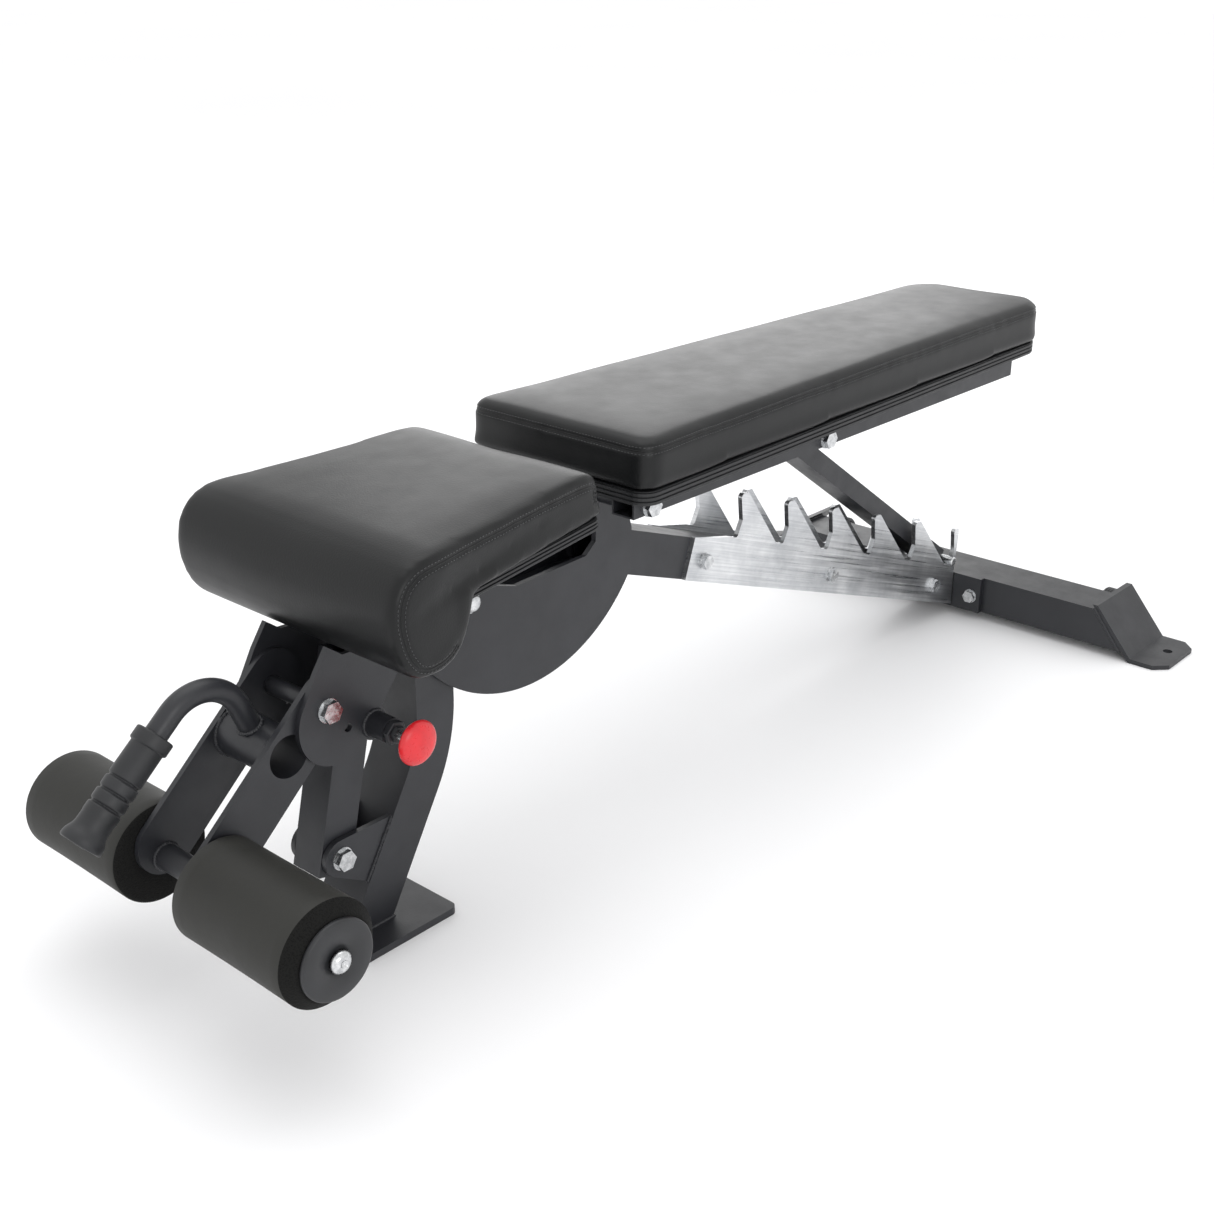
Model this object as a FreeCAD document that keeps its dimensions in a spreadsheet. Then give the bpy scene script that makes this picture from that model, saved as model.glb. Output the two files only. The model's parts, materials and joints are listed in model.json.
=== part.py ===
"""Adjustable weight bench: welded steel frame, ladder-set backrest, tilting seat and leg rollers.

Millimetres. +Z is up, +X points to the head end, +Y to the user's left when lying face up.
The origin is on the floor under the middle of the whole bench.
"""
import FreeCAD, Part
import math
import os
import Sketcher

V = FreeCAD.Vector
doc = FreeCAD.newDocument("WeightBench")

# ---------------------------------------------------------------- driving sizes
SIZES = [
    # X places are measured from the front of the rollers; origin_x is the middle of the bench
    ("origin_x", 709.8), ("running_fit", 0.08), ("weld_plate", 6.0), ("bolt_dia", 12.0),
    # rear crossbar, its bent end plates and the transport wheels
    ("crossbar_front", 1355.0), ("crossbar_depth", 72.0), ("crossbar_height", 53.0),
    ("crossbar_lift", 12.0), ("crossbar_half", 250.0), ("crossbar_wall", 3.0),
    ("end_plate_length", 108.0), ("end_plate_spread", 50.0), ("end_plate_half", 363.0),
    ("end_plate_chamfer", 18.0), ("floor_bolt_hole", 13.0), ("floor_bolt_y", 341.0),
    ("floor_bolt_x", 1416.0), ("flange_thick", 8.0), ("flange_half", 81.0),
    ("flange_bolt_y", 66.0), ("flange_bolt_z", 36.0), ("flange_bolt_dia", 10.0),
    ("wheel_dia", 50.0), ("wheel_width", 22.0), ("wheel_y", 232.0), ("wheel_axle_dia", 8.0),
    ("wheel_x", 1458.0), ("wheel_z", 33.0), ("wheel_gap", 1.5), ("bracket_thick", 4.0),
    # sloping main beam and its ladder
    ("beam_width", 60.0), ("beam_height", 50.0), ("beam_wall", 3.0), ("beam_slope", 19.7),
    ("beam_front", 596.0), ("seat_beam_front", 354.0), ("seat_beam_length", 236.0),
    ("seat_beam_z", 250.0), ("seat_beam_height", 40.0),
    ("ladder_last", 53.5), ("ladder_pitch", 118.5), ("ladder_step", 4.2), ("ladder_base", 57.0),
    ("ladder_tip", 113.0), ("ladder_lead", 75.0), ("ladder_notch", 16.0),
    ("ladder_bolt_dia", 10.0), ("ladder_bolt_inset", 36.0),
    # side cheeks
    ("cheek_front", 312.0), ("cheek_rear", 620.0), ("cheek_top_z", 320.0),
    ("cheek_arc", 191.0), ("cheek_arc_x", 460.0), ("cheek_arc_z", 391.0), ("seat_ear", 18.0), ("back_ear", 11.6),
    # front leg, foot plate and post
    ("leg_depth", 50.0), ("leg_wall", 3.0), ("leg_x", 329.0), ("leg_knee_z", 180.0),
    ("leg_lean", 30.0), ("leg_bend", 170.0), ("foot_thick", 8.0), ("foot_front", 190.0),
    ("foot_length", 126.0), ("foot_half", 65.0), ("foot_corner", 8.0),
    ("post_side", 40.0), ("post_wall", 3.0), ("post_length", 226.0), ("post_tail", 20.0),
    ("post_x", 202.0), ("post_z", 101.0), ("leg_ear", 20.0), ("post_gap", 1.0),
    # seat and its pivot
    ("seat_pivot_x", 375.0), ("seat_pivot_z", 320.0), ("seat_front", 170.0),
    ("seat_length", 302.0), ("seat_front_half", 162.0), ("seat_rear_half", 130.0),
    ("seat_crown_z", 441.0), ("seat_rise", 4.4), ("lobe_low_z", 331.0), ("lobe_depth", 102.0),
    ("seat_board_z", 378.0), ("seat_board_front", 276.0), ("seat_board_thick", 13.0),
    ("seat_rail_half", 24.0), ("seat_rail_ear", 15.0), ("hanger_half", 48.0),
    ("hanger_x", 193.0), ("hanger_z", 262.0), ("hanger_radius", 45.0),
    # roller arms and rollers
    ("arm_half", 42.0), ("arm_width", 60.0), ("arm_top_x", 186.0), ("arm_top_z", 280.0),
    ("arm_low_x", 52.0), ("arm_low_z", 160.0), ("axle_x", 50.0), ("axle_z", 148.0), ("hanger_bolt_x", 182.0), ("hanger_bolt_z", 276.0),
    ("tie_x", 139.0), ("tie_z", 243.0), ("tie_dia", 48.0), ("tie_wall", 3.0),
    ("axle_dia", 25.0), ("roller_dia", 100.0), ("roller_inner", 43.5), ("roller_length", 162.0),
    ("roller_chamfer", 9.0), ("cap_dia", 75.0), ("cap_thick", 6.0), ("cap_bolt_dia", 10.0),
    # handle
    ("handle_dia", 22.0), ("handle_wall", 2.0), ("handle_crest_x", 95.0),
    ("handle_crest_z", 345.0), ("handle_end_x", -52.0), ("handle_end_z", 219.0),
    ("handle_bend", 45.0), ("grip_dia", 32.0), ("grip_length", 112.0), ("grip_flare", 40.0),
    # pull pin
    ("pin_x", 235.0), ("pin_z", 243.0), ("pin_dia", 10.0), ("pin_travel", 24.0),
    ("pin_tip", 15.0), ("housing_dia", 26.0), ("housing_length", 26.0), ("knob_dia", 45.0),
    ("knob_start", 95.0), ("knob_length", 23.0), ("slot_clearance", 1.2),
    # backrest
    ("hinge_x", 574.0), ("hinge_z", 384.0), ("hinge_bush_dia", 22.0), ("hinge_gap", 0.5),
    ("rail_outer", 100.0),
    ("rail_width", 30.0), ("rail_height", 21.5), ("rail_wall", 2.0), ("rail_front", 549.0),
    ("rail_length", 789.0), ("rail_z", 374.5), ("brace_front", 612.0), ("brace_depth", 20.0),
    ("brace_setback", 92.0),
    ("back_front", 531.0), ("back_length", 899.0), ("back_front_half", 132.0),
    ("back_head_half", 107.0), ("back_corner", 28.0), ("back_board_thick", 16.0),
    ("back_pad_thick", 53.0), ("board_inset", 8.0),
    # strut
    ("strut_reach", 321.0), ("strut_width", 40.0), ("strut_depth", 25.0), ("strut_rise", 2.0),
    ("strut_wall", 2.5), ("strut_pin_dia", 13.0), ("strut_pin_half", 46.0),
    ("strut_end", 8.0), ("strut_gap", 0.5),
]

sheet = doc.addObject("Spreadsheet::Sheet", "Sizes")
for row, (alias, value) in enumerate(SIZES, 1):
    sheet.set("A%d" % row, alias)
    sheet.set("B%d" % row, "%g" % value)
    sheet.setAlias("B%d" % row, alias)
doc.recompute()


class Dim:
    """A length or angle: its value now, and the expression that keeps it tied to the sheet."""

    def __init__(self, value, text):
        self.value = value
        self.text = text

    def __add__(self, other):
        other = dim(other)
        return Dim(self.value + other.value, "(%s + %s)" % (self.text, other.text))

    def __radd__(self, other):
        return dim(other) + self

    def __sub__(self, other):
        other = dim(other)
        return Dim(self.value - other.value, "(%s - %s)" % (self.text, other.text))

    def __rsub__(self, other):
        return dim(other) - self

    def __mul__(self, other):
        other = dim(other)
        return Dim(self.value * other.value, "%s * %s" % (self.text, other.text))

    def __rmul__(self, other):
        return dim(other) * self

    def __truediv__(self, other):
        other = dim(other)
        return Dim(self.value / other.value, "%s / (%s)" % (self.text, other.text))

    def __neg__(self):
        return Dim(-self.value, "(-1 * %s)" % self.text)


def dim(value):
    if isinstance(value, Dim):
        return value
    return Dim(float(value), "(%.9g)" % value)


def size(alias):
    return Dim(float(sheet.get(alias)), "Sizes.%s" % alias)


def sine(angle):
    return Dim(math.sin(math.radians(angle.value)), "sin(%s * 1 deg)" % angle.text)


def cosine(angle):
    return Dim(math.cos(math.radians(angle.value)), "cos(%s * 1 deg)" % angle.text)


def tangent(angle):
    return Dim(math.tan(math.radians(angle.value)), "tan(%s * 1 deg)" % angle.text)


def root(value):
    return Dim(math.sqrt(value.value), "sqrt(%s)" % value.text)


def slope_of(rise, run):
    """Angle in degrees of a line that falls by rise over run."""
    return Dim(math.degrees(math.atan2(rise.value, run.value)),
               "(atan2(%s; %s) / 1 deg)" % (rise.text, run.text))


ZERO = dim(0)


def bind(obj, path, value):
    obj.setExpression(path, dim(value).text)


def move(obj, x=ZERO, y=ZERO, z=ZERO, pitch=None):
    """Place an object; pitch turns it about +Y, in degrees."""
    x, y, z = dim(x) - size("origin_x"), dim(y), dim(z)
    angle = pitch.value if pitch is not None else 0.0
    obj.Placement = FreeCAD.Placement(V(x.value, y.value, z.value),
                                      FreeCAD.Rotation(V(0, 1, 0), angle))
    for axis, value in (("x", x), ("y", y), ("z", z)):
        bind(obj, "Placement.Base." + axis, value)
    if pitch is not None:
        bind(obj, "Placement.Rotation.Angle", pitch)


# ---------------------------------------------------------------- sketch and body helpers
def new_body(name):
    body = doc.addObject("PartDesign::Body", name)
    body.Label = name
    return body


def plane_of(body, role):
    for feature in body.Origin.OriginFeatures:
        if feature.Role == role:
            return feature
    raise ValueError(role)


def new_sketch(body, name, role="XZ_Plane", offset=None):
    sketch = body.newObject("Sketcher::SketchObject", body.Name + "_" + name)
    sketch.AttachmentSupport = [(plane_of(body, role), "")]
    sketch.MapMode = "FlatFace"
    if offset is not None:
        offset = dim(offset)
        sketch.AttachmentOffset = FreeCAD.Placement(V(0, 0, offset.value), FreeCAD.Rotation())
        bind(sketch, "AttachmentOffset.Base.z", offset)
    return sketch


def pin_point(sketch, geometry, end, x, y):
    """Tie one sketch point to its two coordinates."""
    for kind, value in (("DistanceX", dim(x)), ("DistanceY", dim(y))):
        index = sketch.addConstraint(Sketcher.Constraint(kind, -1, 1, geometry, end, value.value))
        sketch.setExpression("Constraints[%d]" % index, value.text)


def add_outline(sketch, points):
    """Closed polygon whose corners are tied to sheet sizes."""
    points = [(dim(x), dim(y)) for x, y in points]
    count = len(points)
    first = len(sketch.Geometry)
    for i in range(count):
        a, b = points[i], points[(i + 1) % count]
        sketch.addGeometry(Part.LineSegment(V(a[0].value, a[1].value, 0),
                                            V(b[0].value, b[1].value, 0)), False)
    for i in range(count):
        sketch.addConstraint(Sketcher.Constraint("Coincident", first + i, 2,
                                                 first + (i + 1) % count, 1))
    for i in range(count):
        pin_point(sketch, first + i, 1, *points[i])


def add_circle(sketch, x, y, diameter):
    x, y, radius = dim(x), dim(y), dim(diameter) / 2
    index = sketch.addGeometry(Part.Circle(V(x.value, y.value, 0), V(0, 0, 1), radius.value), False)
    pin_point(sketch, index, 3, x, y)
    number = sketch.addConstraint(Sketcher.Constraint("Radius", index, radius.value))
    sketch.setExpression("Constraints[%d]" % number, radius.text)


def pad(body, sketch, length, midplane=True, name="Pad", back=False):
    feature = body.newObject("PartDesign::Pad", body.Name + "_" + name)
    feature.Profile = sketch
    feature.SideType = "Symmetric" if midplane else "One side"
    feature.Reversed = back
    feature.Length = dim(length).value
    bind(feature, "Length", length)
    sketch.Visibility = False
    doc.recompute()
    return feature


def pocket(body, sketch, length=None, midplane=True, name="Pocket", back=False):
    """Cut the sketch out of the body; the volume must drop."""
    before = body.Shape.Volume
    feature = body.newObject("PartDesign::Pocket", body.Name + "_" + name)
    feature.Profile = sketch
    feature.SideType = "Symmetric" if midplane else "One side"
    feature.Reversed = back
    if length is None:
        feature.Type = "ThroughAll"
    else:
        feature.Length = dim(length).value
        bind(feature, "Length", length)
    doc.recompute()
    if body.Shape.Volume >= before - 1e-6:
        raise RuntimeError("nothing cut by %s" % feature.Name)
    return feature


def edges_along(shape, direction, corners, tolerance=0.05):
    """Names of the straight edges that run along direction through the given corners."""
    names = []
    keep = [i for i in range(3) if abs(direction[i]) < 0.5]
    for number, edge in enumerate(shape.Edges, 1):
        if len(edge.Vertexes) != 2 or edge.Curve.TypeId != "Part::GeomLine":
            continue
        a, b = edge.Vertexes[0].Point, edge.Vertexes[1].Point
        if max(abs(a[i] - b[i]) for i in keep) > tolerance:
            continue
        for corner in corners:
            if max(abs(a[i] - corner[j]) for j, i in enumerate(keep)) < tolerance:
                names.append("Edge%d" % number)
                break
    return names


def round_corners(body, feature, corners, radius, name="Round", direction=(0, 1, 0)):
    """Fillet the edges that run along direction at the given corners."""
    corners = [(dim(a).value, dim(b).value) for a, b in corners]
    names = edges_along(feature.Shape, direction, corners)
    if len(names) < len(corners):
        raise RuntimeError("%s found %d of %d edges" % (body.Name, len(names), len(corners)))
    fillet = body.newObject("PartDesign::Fillet", body.Name + "_" + name)
    fillet.Base = (feature, names)
    fillet.Radius = dim(radius).value
    bind(fillet, "Radius", radius)
    doc.recompute()
    return fillet


def drill(body, holes, name="Drill"):
    """Round holes right through the body, across the XZ plane."""
    sketch = new_sketch(body, name + "Holes")
    for x, z, diameter in holes:
        add_circle(sketch, x, z, diameter)
    pocket(body, sketch, name=name)


def side_plate(name, points, thick, centre_y, holes=(), rounds=(), discs=(), pitch=None,
               x=ZERO, z=ZERO):
    """Flat plate in the XZ plane with round lobes (discs), rounded corners and holes."""
    body = new_body(name)
    outline = new_sketch(body, "Outline")
    add_outline(outline, points)
    feature = pad(body, outline, thick)
    for number, (corners, radius) in enumerate(rounds):
        feature = round_corners(body, feature, corners, radius, "Round%d" % number)
    for number, (dx, dz, diameter) in enumerate(discs):
        lobe = new_sketch(body, "Lobe%d" % number)
        add_circle(lobe, dx, dz, diameter)
        pad(body, lobe, thick, name="LobePad%d" % number)
    if holes:
        drill(body, holes)
    move(body, x, centre_y, z, pitch)
    return body


def side_tube(name, points, inner, width, wall, centre_y=ZERO, holes=(), pitch=None,
              x=ZERO, z=ZERO):
    """Rectangular tube seen from the side: the outline padded to width, hollowed by inner."""
    body = new_body(name)
    outline = new_sketch(body, "Outline")
    add_outline(outline, points)
    pad(body, outline, width)
    bore = new_sketch(body, "Bore")
    add_outline(bore, inner)
    pocket(body, bore, width - 2 * wall, name="Hollow")
    if holes:
        drill(body, holes)
    move(body, x, centre_y, z, pitch)
    return body


def straight_tube(name, long, tall, wide, wall, x, y, z, holes=()):
    """Open rectangular tube along X whose near lower corner on the centre plane is x, z."""
    return side_tube(name, [(0, 0), (long, 0), (long, tall), (0, tall)],
                     [(-5, wall), (long + 5, wall), (long + 5, tall - wall), (-5, tall - wall)],
                     wide, wall, centre_y=y, holes=holes, x=x, z=z)


PLANES = {"Y": ("XZ_Plane", -1), "X": ("YZ_Plane", 1), "Z": ("XY_Plane", 1)}


def slice_pad(body, axis, start, end, draw, name):
    """Pad what draw(sketch) draws from start to end along the body's own axis."""
    role, sign = PLANES[axis]
    start, end = dim(start), dim(end)
    low, high = (start, end) if sign > 0 else (-1 * end, -1 * start)
    sketch = new_sketch(body, name + "Sketch", role, low)
    draw(sketch)
    return pad(body, sketch, high - low, midplane=False, name=name)


def turned(name, axis, steps, x, y, z, bore=None, pitch=None, domes=()):
    """Round part along an axis made of (start, end, diameter) steps, with rounded end faces."""
    body = new_body(name)
    feature = None
    for number, (start, end, diameter) in enumerate(steps):
        feature = slice_pad(body, axis, start, end,
                            lambda sketch: add_circle(sketch, 0, 0, diameter), "Step%d" % number)
    for number, (at, diameter, radius) in enumerate(domes):
        feature = round_rim(body, feature, axis, at, diameter, radius, "Dome%d" % number)
    if bore is not None:
        sketch = new_sketch(body, "Bore", PLANES[axis][0])
        add_circle(sketch, 0, 0, bore)
        pocket(body, sketch, name="Bored")
    move(body, x, y, z, pitch)
    return body


def round_rim(body, feature, axis, at, diameter, radius, name):
    """Fillet the round rim of the given diameter that lies at one place along the axis."""
    index = "XYZ".index(axis)
    at, half = dim(at).value, dim(diameter).value / 2
    names = []
    for number, edge in enumerate(feature.Shape.Edges, 1):
        if edge.Curve.TypeId != "Part::GeomCircle" or abs(edge.Curve.Radius - half) > 0.01:
            continue
        if abs(edge.Curve.Center[index] - at) < 0.01:
            names.append("Edge%d" % number)
    fillet = body.newObject("PartDesign::Fillet", body.Name + "_" + name)
    fillet.Base = (feature, names)
    fillet.Radius = dim(radius).value
    bind(fillet, "Radius", radius)
    doc.recompute()
    return fillet


def hex_points(across_flats):
    radius = dim(across_flats) / math.sqrt(3)
    return [(radius * math.cos(math.radians(a)), radius * math.sin(math.radians(a)))
            for a in range(0, 360, 60)]


WASHER = dim(1.5)


def bolt(name, axis, x, y, z, reach, diameter, dome=False):
    """Bolt whose shank spans -reach to +reach, with washers, a head and a nut outside it."""
    reach, diameter = dim(reach), dim(diameter)
    body = new_body(name)
    slice_pad(body, axis, -1 * reach - WASHER, reach + WASHER + diameter * 0.75,
              lambda sketch: add_circle(sketch, 0, 0, diameter), "Shank")
    feature = None
    for label, sign in (("Low", -1), ("High", 1)):
        inner, seat = sign * reach, sign * (reach + WASHER)
        outer = sign * (reach + WASHER + diameter * 0.6)
        ends = (inner, seat) if sign > 0 else (seat, inner)
        slice_pad(body, axis, ends[0], ends[1],
                  lambda sketch: add_circle(sketch, 0, 0, diameter * 2), label + "Washer")
        ends = (seat, outer) if sign > 0 else (outer, seat)
        if dome:
            feature = slice_pad(body, axis, ends[0], ends[1],
                                lambda sketch: add_circle(sketch, 0, 0, diameter * 1.6),
                                label + "Head")
        else:
            feature = slice_pad(body, axis, ends[0], ends[1],
                                lambda sketch: add_outline(sketch, hex_points(diameter * 1.6)),
                                label + "Head")
    if dome:
        edge = reach + WASHER + diameter * 0.6
        feature = round_rim(body, feature, axis, -1 * edge, diameter * 1.6, diameter * 0.4, "Dome")
    move(body, x, y, z)
    return body


def bend_local(points):
    """Lengths and turn of a two-leg path, in a frame whose Z runs along the first leg."""
    (x0, z0), (x1, z1), (x2, z2) = [(dim(x), dim(z)) for x, z in points]
    first = slope_of(x1 - x0, z1 - z0)
    second = slope_of(x2 - x1, z2 - z1)
    turn = second - first
    if turn.value > 180:
        turn = turn - 360
    if turn.value < -180:
        turn = turn + 360
    one = root((x1 - x0) * (x1 - x0) + (z1 - z0) * (z1 - z0))
    two = root((x2 - x1) * (x2 - x1) + (z2 - z1) * (z2 - z1))
    return one, two, turn, first


def bent_tube(name, points, bend, draw, start=ZERO):
    """Tube along two straight legs joined by a bend; draw(sketch, shift) draws its section."""
    body = new_body(name)
    bend = dim(bend)
    one, two, turn, first = bend_local(points)
    sense = 1 if turn.value > 0 else -1
    cut = bend * tangent(turn / 2) * sense
    slice_pad(body, "Z", start, one - cut, lambda sketch: draw(sketch, ZERO), "LegOne")

    elbow = new_sketch(body, "ElbowSection", "XY_Plane", one - cut)
    shift = sense * bend
    elbow.AttachmentOffset = FreeCAD.Placement(V(shift.value, 0, (one - cut).value),
                                               FreeCAD.Rotation())
    bind(elbow, "AttachmentOffset.Base.x", shift)
    draw(elbow, -1 * shift)
    doc.recompute()
    turned_part = body.newObject("PartDesign::Revolution", name + "_Elbow")
    turned_part.Profile = elbow
    turned_part.ReferenceAxis = (elbow, ["V_Axis"])
    turned_part.Angle = abs(turn.value)
    bind(turned_part, "Angle", sense * turn)
    turned_part.Reversed = sense < 0
    doc.recompute()

    after = new_sketch(body, "LegTwoSection")
    out_x, out_z = cut * sine(turn), one + cut * cosine(turn)
    after.AttachmentSupport = [(plane_of(body, "XY_Plane"), "")]
    after.AttachmentOffset = FreeCAD.Placement(V(out_x.value, 0, out_z.value),
                                               FreeCAD.Rotation(V(0, 1, 0), turn.value))
    bind(after, "AttachmentOffset.Base.x", out_x)
    bind(after, "AttachmentOffset.Base.z", out_z)
    bind(after, "AttachmentOffset.Rotation.Angle", sense * turn)
    after.AttachmentOffset = FreeCAD.Placement(V(out_x.value, 0, out_z.value),
                                               FreeCAD.Rotation(V(0, sense, 0), abs(turn.value)))
    draw(after, ZERO)
    pad(body, after, two - cut, midplane=False, name="LegTwo")
    move(body, points[0][0], ZERO, points[0][1], first)
    return body


# ---------------------------------------------------------------- shared places
slope = size("beam_slope")
lean = tangent(slope)
plate = size("weld_plate")
bolt_dia = size("bolt_dia")
pivot_hole = bolt_dia + 2 * size("running_fit")
half_beam = size("beam_width") / 2
cheek_face = half_beam + plate
beam_x = size("crossbar_front")
beam_z = size("crossbar_lift")
bar_rear = beam_x + size("crossbar_depth")
bar_top = beam_z + size("crossbar_height")
SIDES = (("l", 1), ("r", -1))


def from_beam(u, w):
    """X and Z of a point given along and above the beam's underside."""
    return (beam_x + u * cosine(slope) + w * sine(slope),
            beam_z - u * sine(slope) + w * cosine(slope))


# ---------------------------------------------------------------- rear crossbar and its feet
end_run = size("end_plate_spread") / (size("crossbar_height") + plate)


def plate_inside(z):
    """Half width of the crossbar's slanted end at a height."""
    return size("crossbar_half") + (bar_top + plate - z) * end_run


crossbar = new_body("rear_crossbar")
slice_pad(crossbar, "X", 0, size("crossbar_depth"), lambda sketch: add_outline(sketch, [
    (-1 * plate_inside(beam_z), beam_z), (plate_inside(beam_z), beam_z),
    (plate_inside(bar_top), bar_top), (-1 * plate_inside(bar_top), bar_top)]), "Bar")
bar_wall = size("crossbar_wall")
hollow = new_sketch(crossbar, "Bore")
add_outline(hollow, [(bar_wall, beam_z + bar_wall),
                     (size("crossbar_depth") - bar_wall, beam_z + bar_wall),
                     (size("crossbar_depth") - bar_wall, bar_top - bar_wall),
                     (bar_wall, bar_top - bar_wall)])
pocket(crossbar, hollow, name="Hollow")
bolt_shaft_gap = size("flange_bolt_dia")
flange_holes = new_sketch(crossbar, "FlangeHoles", "YZ_Plane")
for side, sign in SIDES:
    add_circle(flange_holes, sign * size("flange_bolt_y"), size("flange_bolt_z"), bolt_shaft_gap)
pocket(crossbar, flange_holes, 2 * (bar_wall + 1), name="FlangeDrill")
move(crossbar, beam_x, ZERO, ZERO)

for side, sign in SIDES:
    body = new_body("end_plate_" + side)
    foot_tip = sign * size("end_plate_half")
    skew = plate * root(end_run * end_run + 1)
    slice_pad(body, "X", 0, size("end_plate_length"), lambda sketch: add_outline(sketch, [
        (sign * plate_inside(bar_top + plate), bar_top + plate),
        (sign * plate_inside(ZERO), 0), (foot_tip, 0), (foot_tip, plate),
        (sign * (plate_inside(plate) + skew), plate),
        (sign * (plate_inside(bar_top + plate) + skew), bar_top + plate)]), "Bend")
    chamfer = size("end_plate_chamfer")
    long = size("end_plate_length")
    corners = new_sketch(body, "Corners", "XY_Plane")
    for edge_x, way in ((ZERO, 1), (long, -1)):
        add_outline(corners, [(edge_x - way, foot_tip + sign), (edge_x + way * chamfer, foot_tip + sign),
                              (edge_x - way, foot_tip - sign * chamfer)])
    pocket(body, corners, name="Chamfer")
    hole = new_sketch(body, "FloorBolt", "XY_Plane")
    add_circle(hole, size("floor_bolt_x") - beam_x, sign * size("floor_bolt_y"),
               size("floor_bolt_hole"))
    pocket(body, hole, name="FloorDrill")
    move(body, beam_x, ZERO, ZERO)

beam_flange = new_body("beam_end_flange")
flange_half = size("flange_half")
slice_pad(beam_flange, "X", 0, size("flange_thick"), lambda sketch: add_outline(sketch, [
    (-1 * flange_half, beam_z), (flange_half, beam_z), (flange_half, bar_top),
    (-1 * flange_half, bar_top)]), "Plate")
flange_drill = new_sketch(beam_flange, "Holes", "YZ_Plane")
for side, sign in SIDES:
    add_circle(flange_drill, sign * size("flange_bolt_y"), size("flange_bolt_z"), bolt_shaft_gap)
pocket(beam_flange, flange_drill, name="Drill")
move(beam_flange, beam_x - size("flange_thick"), ZERO, ZERO)

for side, sign in SIDES:
    grip = (size("flange_thick") + bar_wall) / 2
    bolt("flange_bolt_" + side, "X", beam_x - size("flange_thick") + grip,
         sign * size("flange_bolt_y"), size("flange_bolt_z"), grip, bolt_shaft_gap)

wheel_half = size("wheel_width") / 2
wheel_r = size("wheel_dia") / 2
bracket = size("bracket_thick")
for side, sign in SIDES:
    wheel_y = sign * size("wheel_y")
    inner_half = wheel_half + size("wheel_gap")
    outer_half = inner_half + bracket
    body = new_body("wheel_bracket_" + side)
    tongue = size("wheel_x") - bar_rear
    slice_pad(body, "Y", -1 * outer_half, outer_half, lambda sketch: add_outline(sketch, [
        (0, size("wheel_z") - 13), (tongue + 5, size("wheel_z") - 11),
        (tongue + 12, size("wheel_z")), (tongue + 5, size("wheel_z") + 11),
        (0, size("wheel_z") + 13)]), "Block")
    fork = new_sketch(body, "Fork", "XY_Plane")
    add_outline(fork, [(bracket, -1 * inner_half), (tongue + 20, -1 * inner_half),
                       (tongue + 20, inner_half), (bracket, inner_half)])
    pocket(body, fork, name="ForkCut")
    axle_end = outer_half + 4
    for part_name, start, end, across in (("Axle", -1 * outer_half, outer_half, size("wheel_axle_dia")),
                                          ("HeadLow", -1 * axle_end, -1 * outer_half, dim(14)),
                                          ("HeadHigh", outer_half, axle_end, dim(14))):
        slice_pad(body, "Y", start, end,
                  lambda sketch: add_circle(sketch, tongue, size("wheel_z"), across), part_name)
    move(body, bar_rear, wheel_y, ZERO)
    turned("wheel_" + side, "Y", [(-1 * wheel_half, wheel_half, size("wheel_dia"))],
           size("wheel_x"), wheel_y, size("wheel_z"),
           bore=size("wheel_axle_dia") + 2 * size("running_fit"),
           domes=[(wheel_half, size("wheel_dia"), 3), (-1 * wheel_half, size("wheel_dia"), 3)])

# ---------------------------------------------------------------- main beam and seat beam
tall = size("beam_height")
wall = size("beam_wall")
beam_head = (size("beam_front") - beam_x) / cosine(slope)
beam_tail = -1 * size("flange_thick") / cosine(slope)
side_tube("main_beam",
          [(beam_head, 0), (beam_tail, 0), (beam_tail - tall * lean, tall),
           (beam_head - tall * lean, tall)],
          [(beam_head - 60, wall), (50, wall), (50, tall - wall), (beam_head - 60, tall - wall)],
          size("beam_width"), wall, pitch=slope, x=beam_x, z=beam_z,
          holes=[])
seat_beam_z = size("seat_beam_z")
straight_tube("seat_beam", size("seat_beam_length"), size("seat_beam_height"),
              size("beam_width"), wall, size("seat_beam_front"), ZERO, seat_beam_z)

# ---------------------------------------------------------------- side cheeks
seat_x, seat_z = size("seat_pivot_x"), size("seat_pivot_z")
hinge_x, hinge_z = size("hinge_x"), size("hinge_z")
cheek_front, cheek_rear = size("cheek_front"), size("cheek_rear")
cheek_top = size("cheek_top_z")
arc, arc_x, arc_z = size("cheek_arc"), size("cheek_arc_x"), size("cheek_arc_z")
cheek_low = arc_z - arc - 5
seat_ear, back_ear = size("seat_ear"), size("back_ear")
cheek_points = [
    (cheek_front, cheek_low), (cheek_rear, cheek_low), (cheek_rear, cheek_top + 13),
    (cheek_rear - 5, cheek_top + 30), (hinge_x + back_ear, hinge_z),
    (hinge_x - back_ear, hinge_z), (hinge_x - back_ear - 1, cheek_top + 12),
    (hinge_x - back_ear - 16, cheek_top), (seat_x + 66, cheek_top - 3),
    (seat_x + 10, seat_z + seat_ear - 3), (seat_x - 10, seat_z + seat_ear - 3),
    (cheek_front + 16, cheek_top), (cheek_front, cheek_top - 30)]
for side, sign in SIDES:
    body = side_plate("cheek_plate_" + side, cheek_points, plate, sign * (half_beam + plate / 2),
                      discs=[(seat_x, seat_z, 2 * seat_ear), (hinge_x, hinge_z, 2 * back_ear)],
                      holes=[(seat_x, seat_z, bolt_dia), (hinge_x, hinge_z, pivot_hole)])
    scoop = new_sketch(body, "Scoop")
    add_outline(scoop, [(arc_x - 2 * arc, arc_z - 2 * arc), (arc_x + 2 * arc, arc_z - 2 * arc),
                        (arc_x + 2 * arc, arc_z + 2 * arc), (arc_x - 2 * arc, arc_z + 2 * arc)])
    add_circle(scoop, arc_x, arc_z, 2 * arc)
    pocket(body, scoop, name="ScoopCut")

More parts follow.
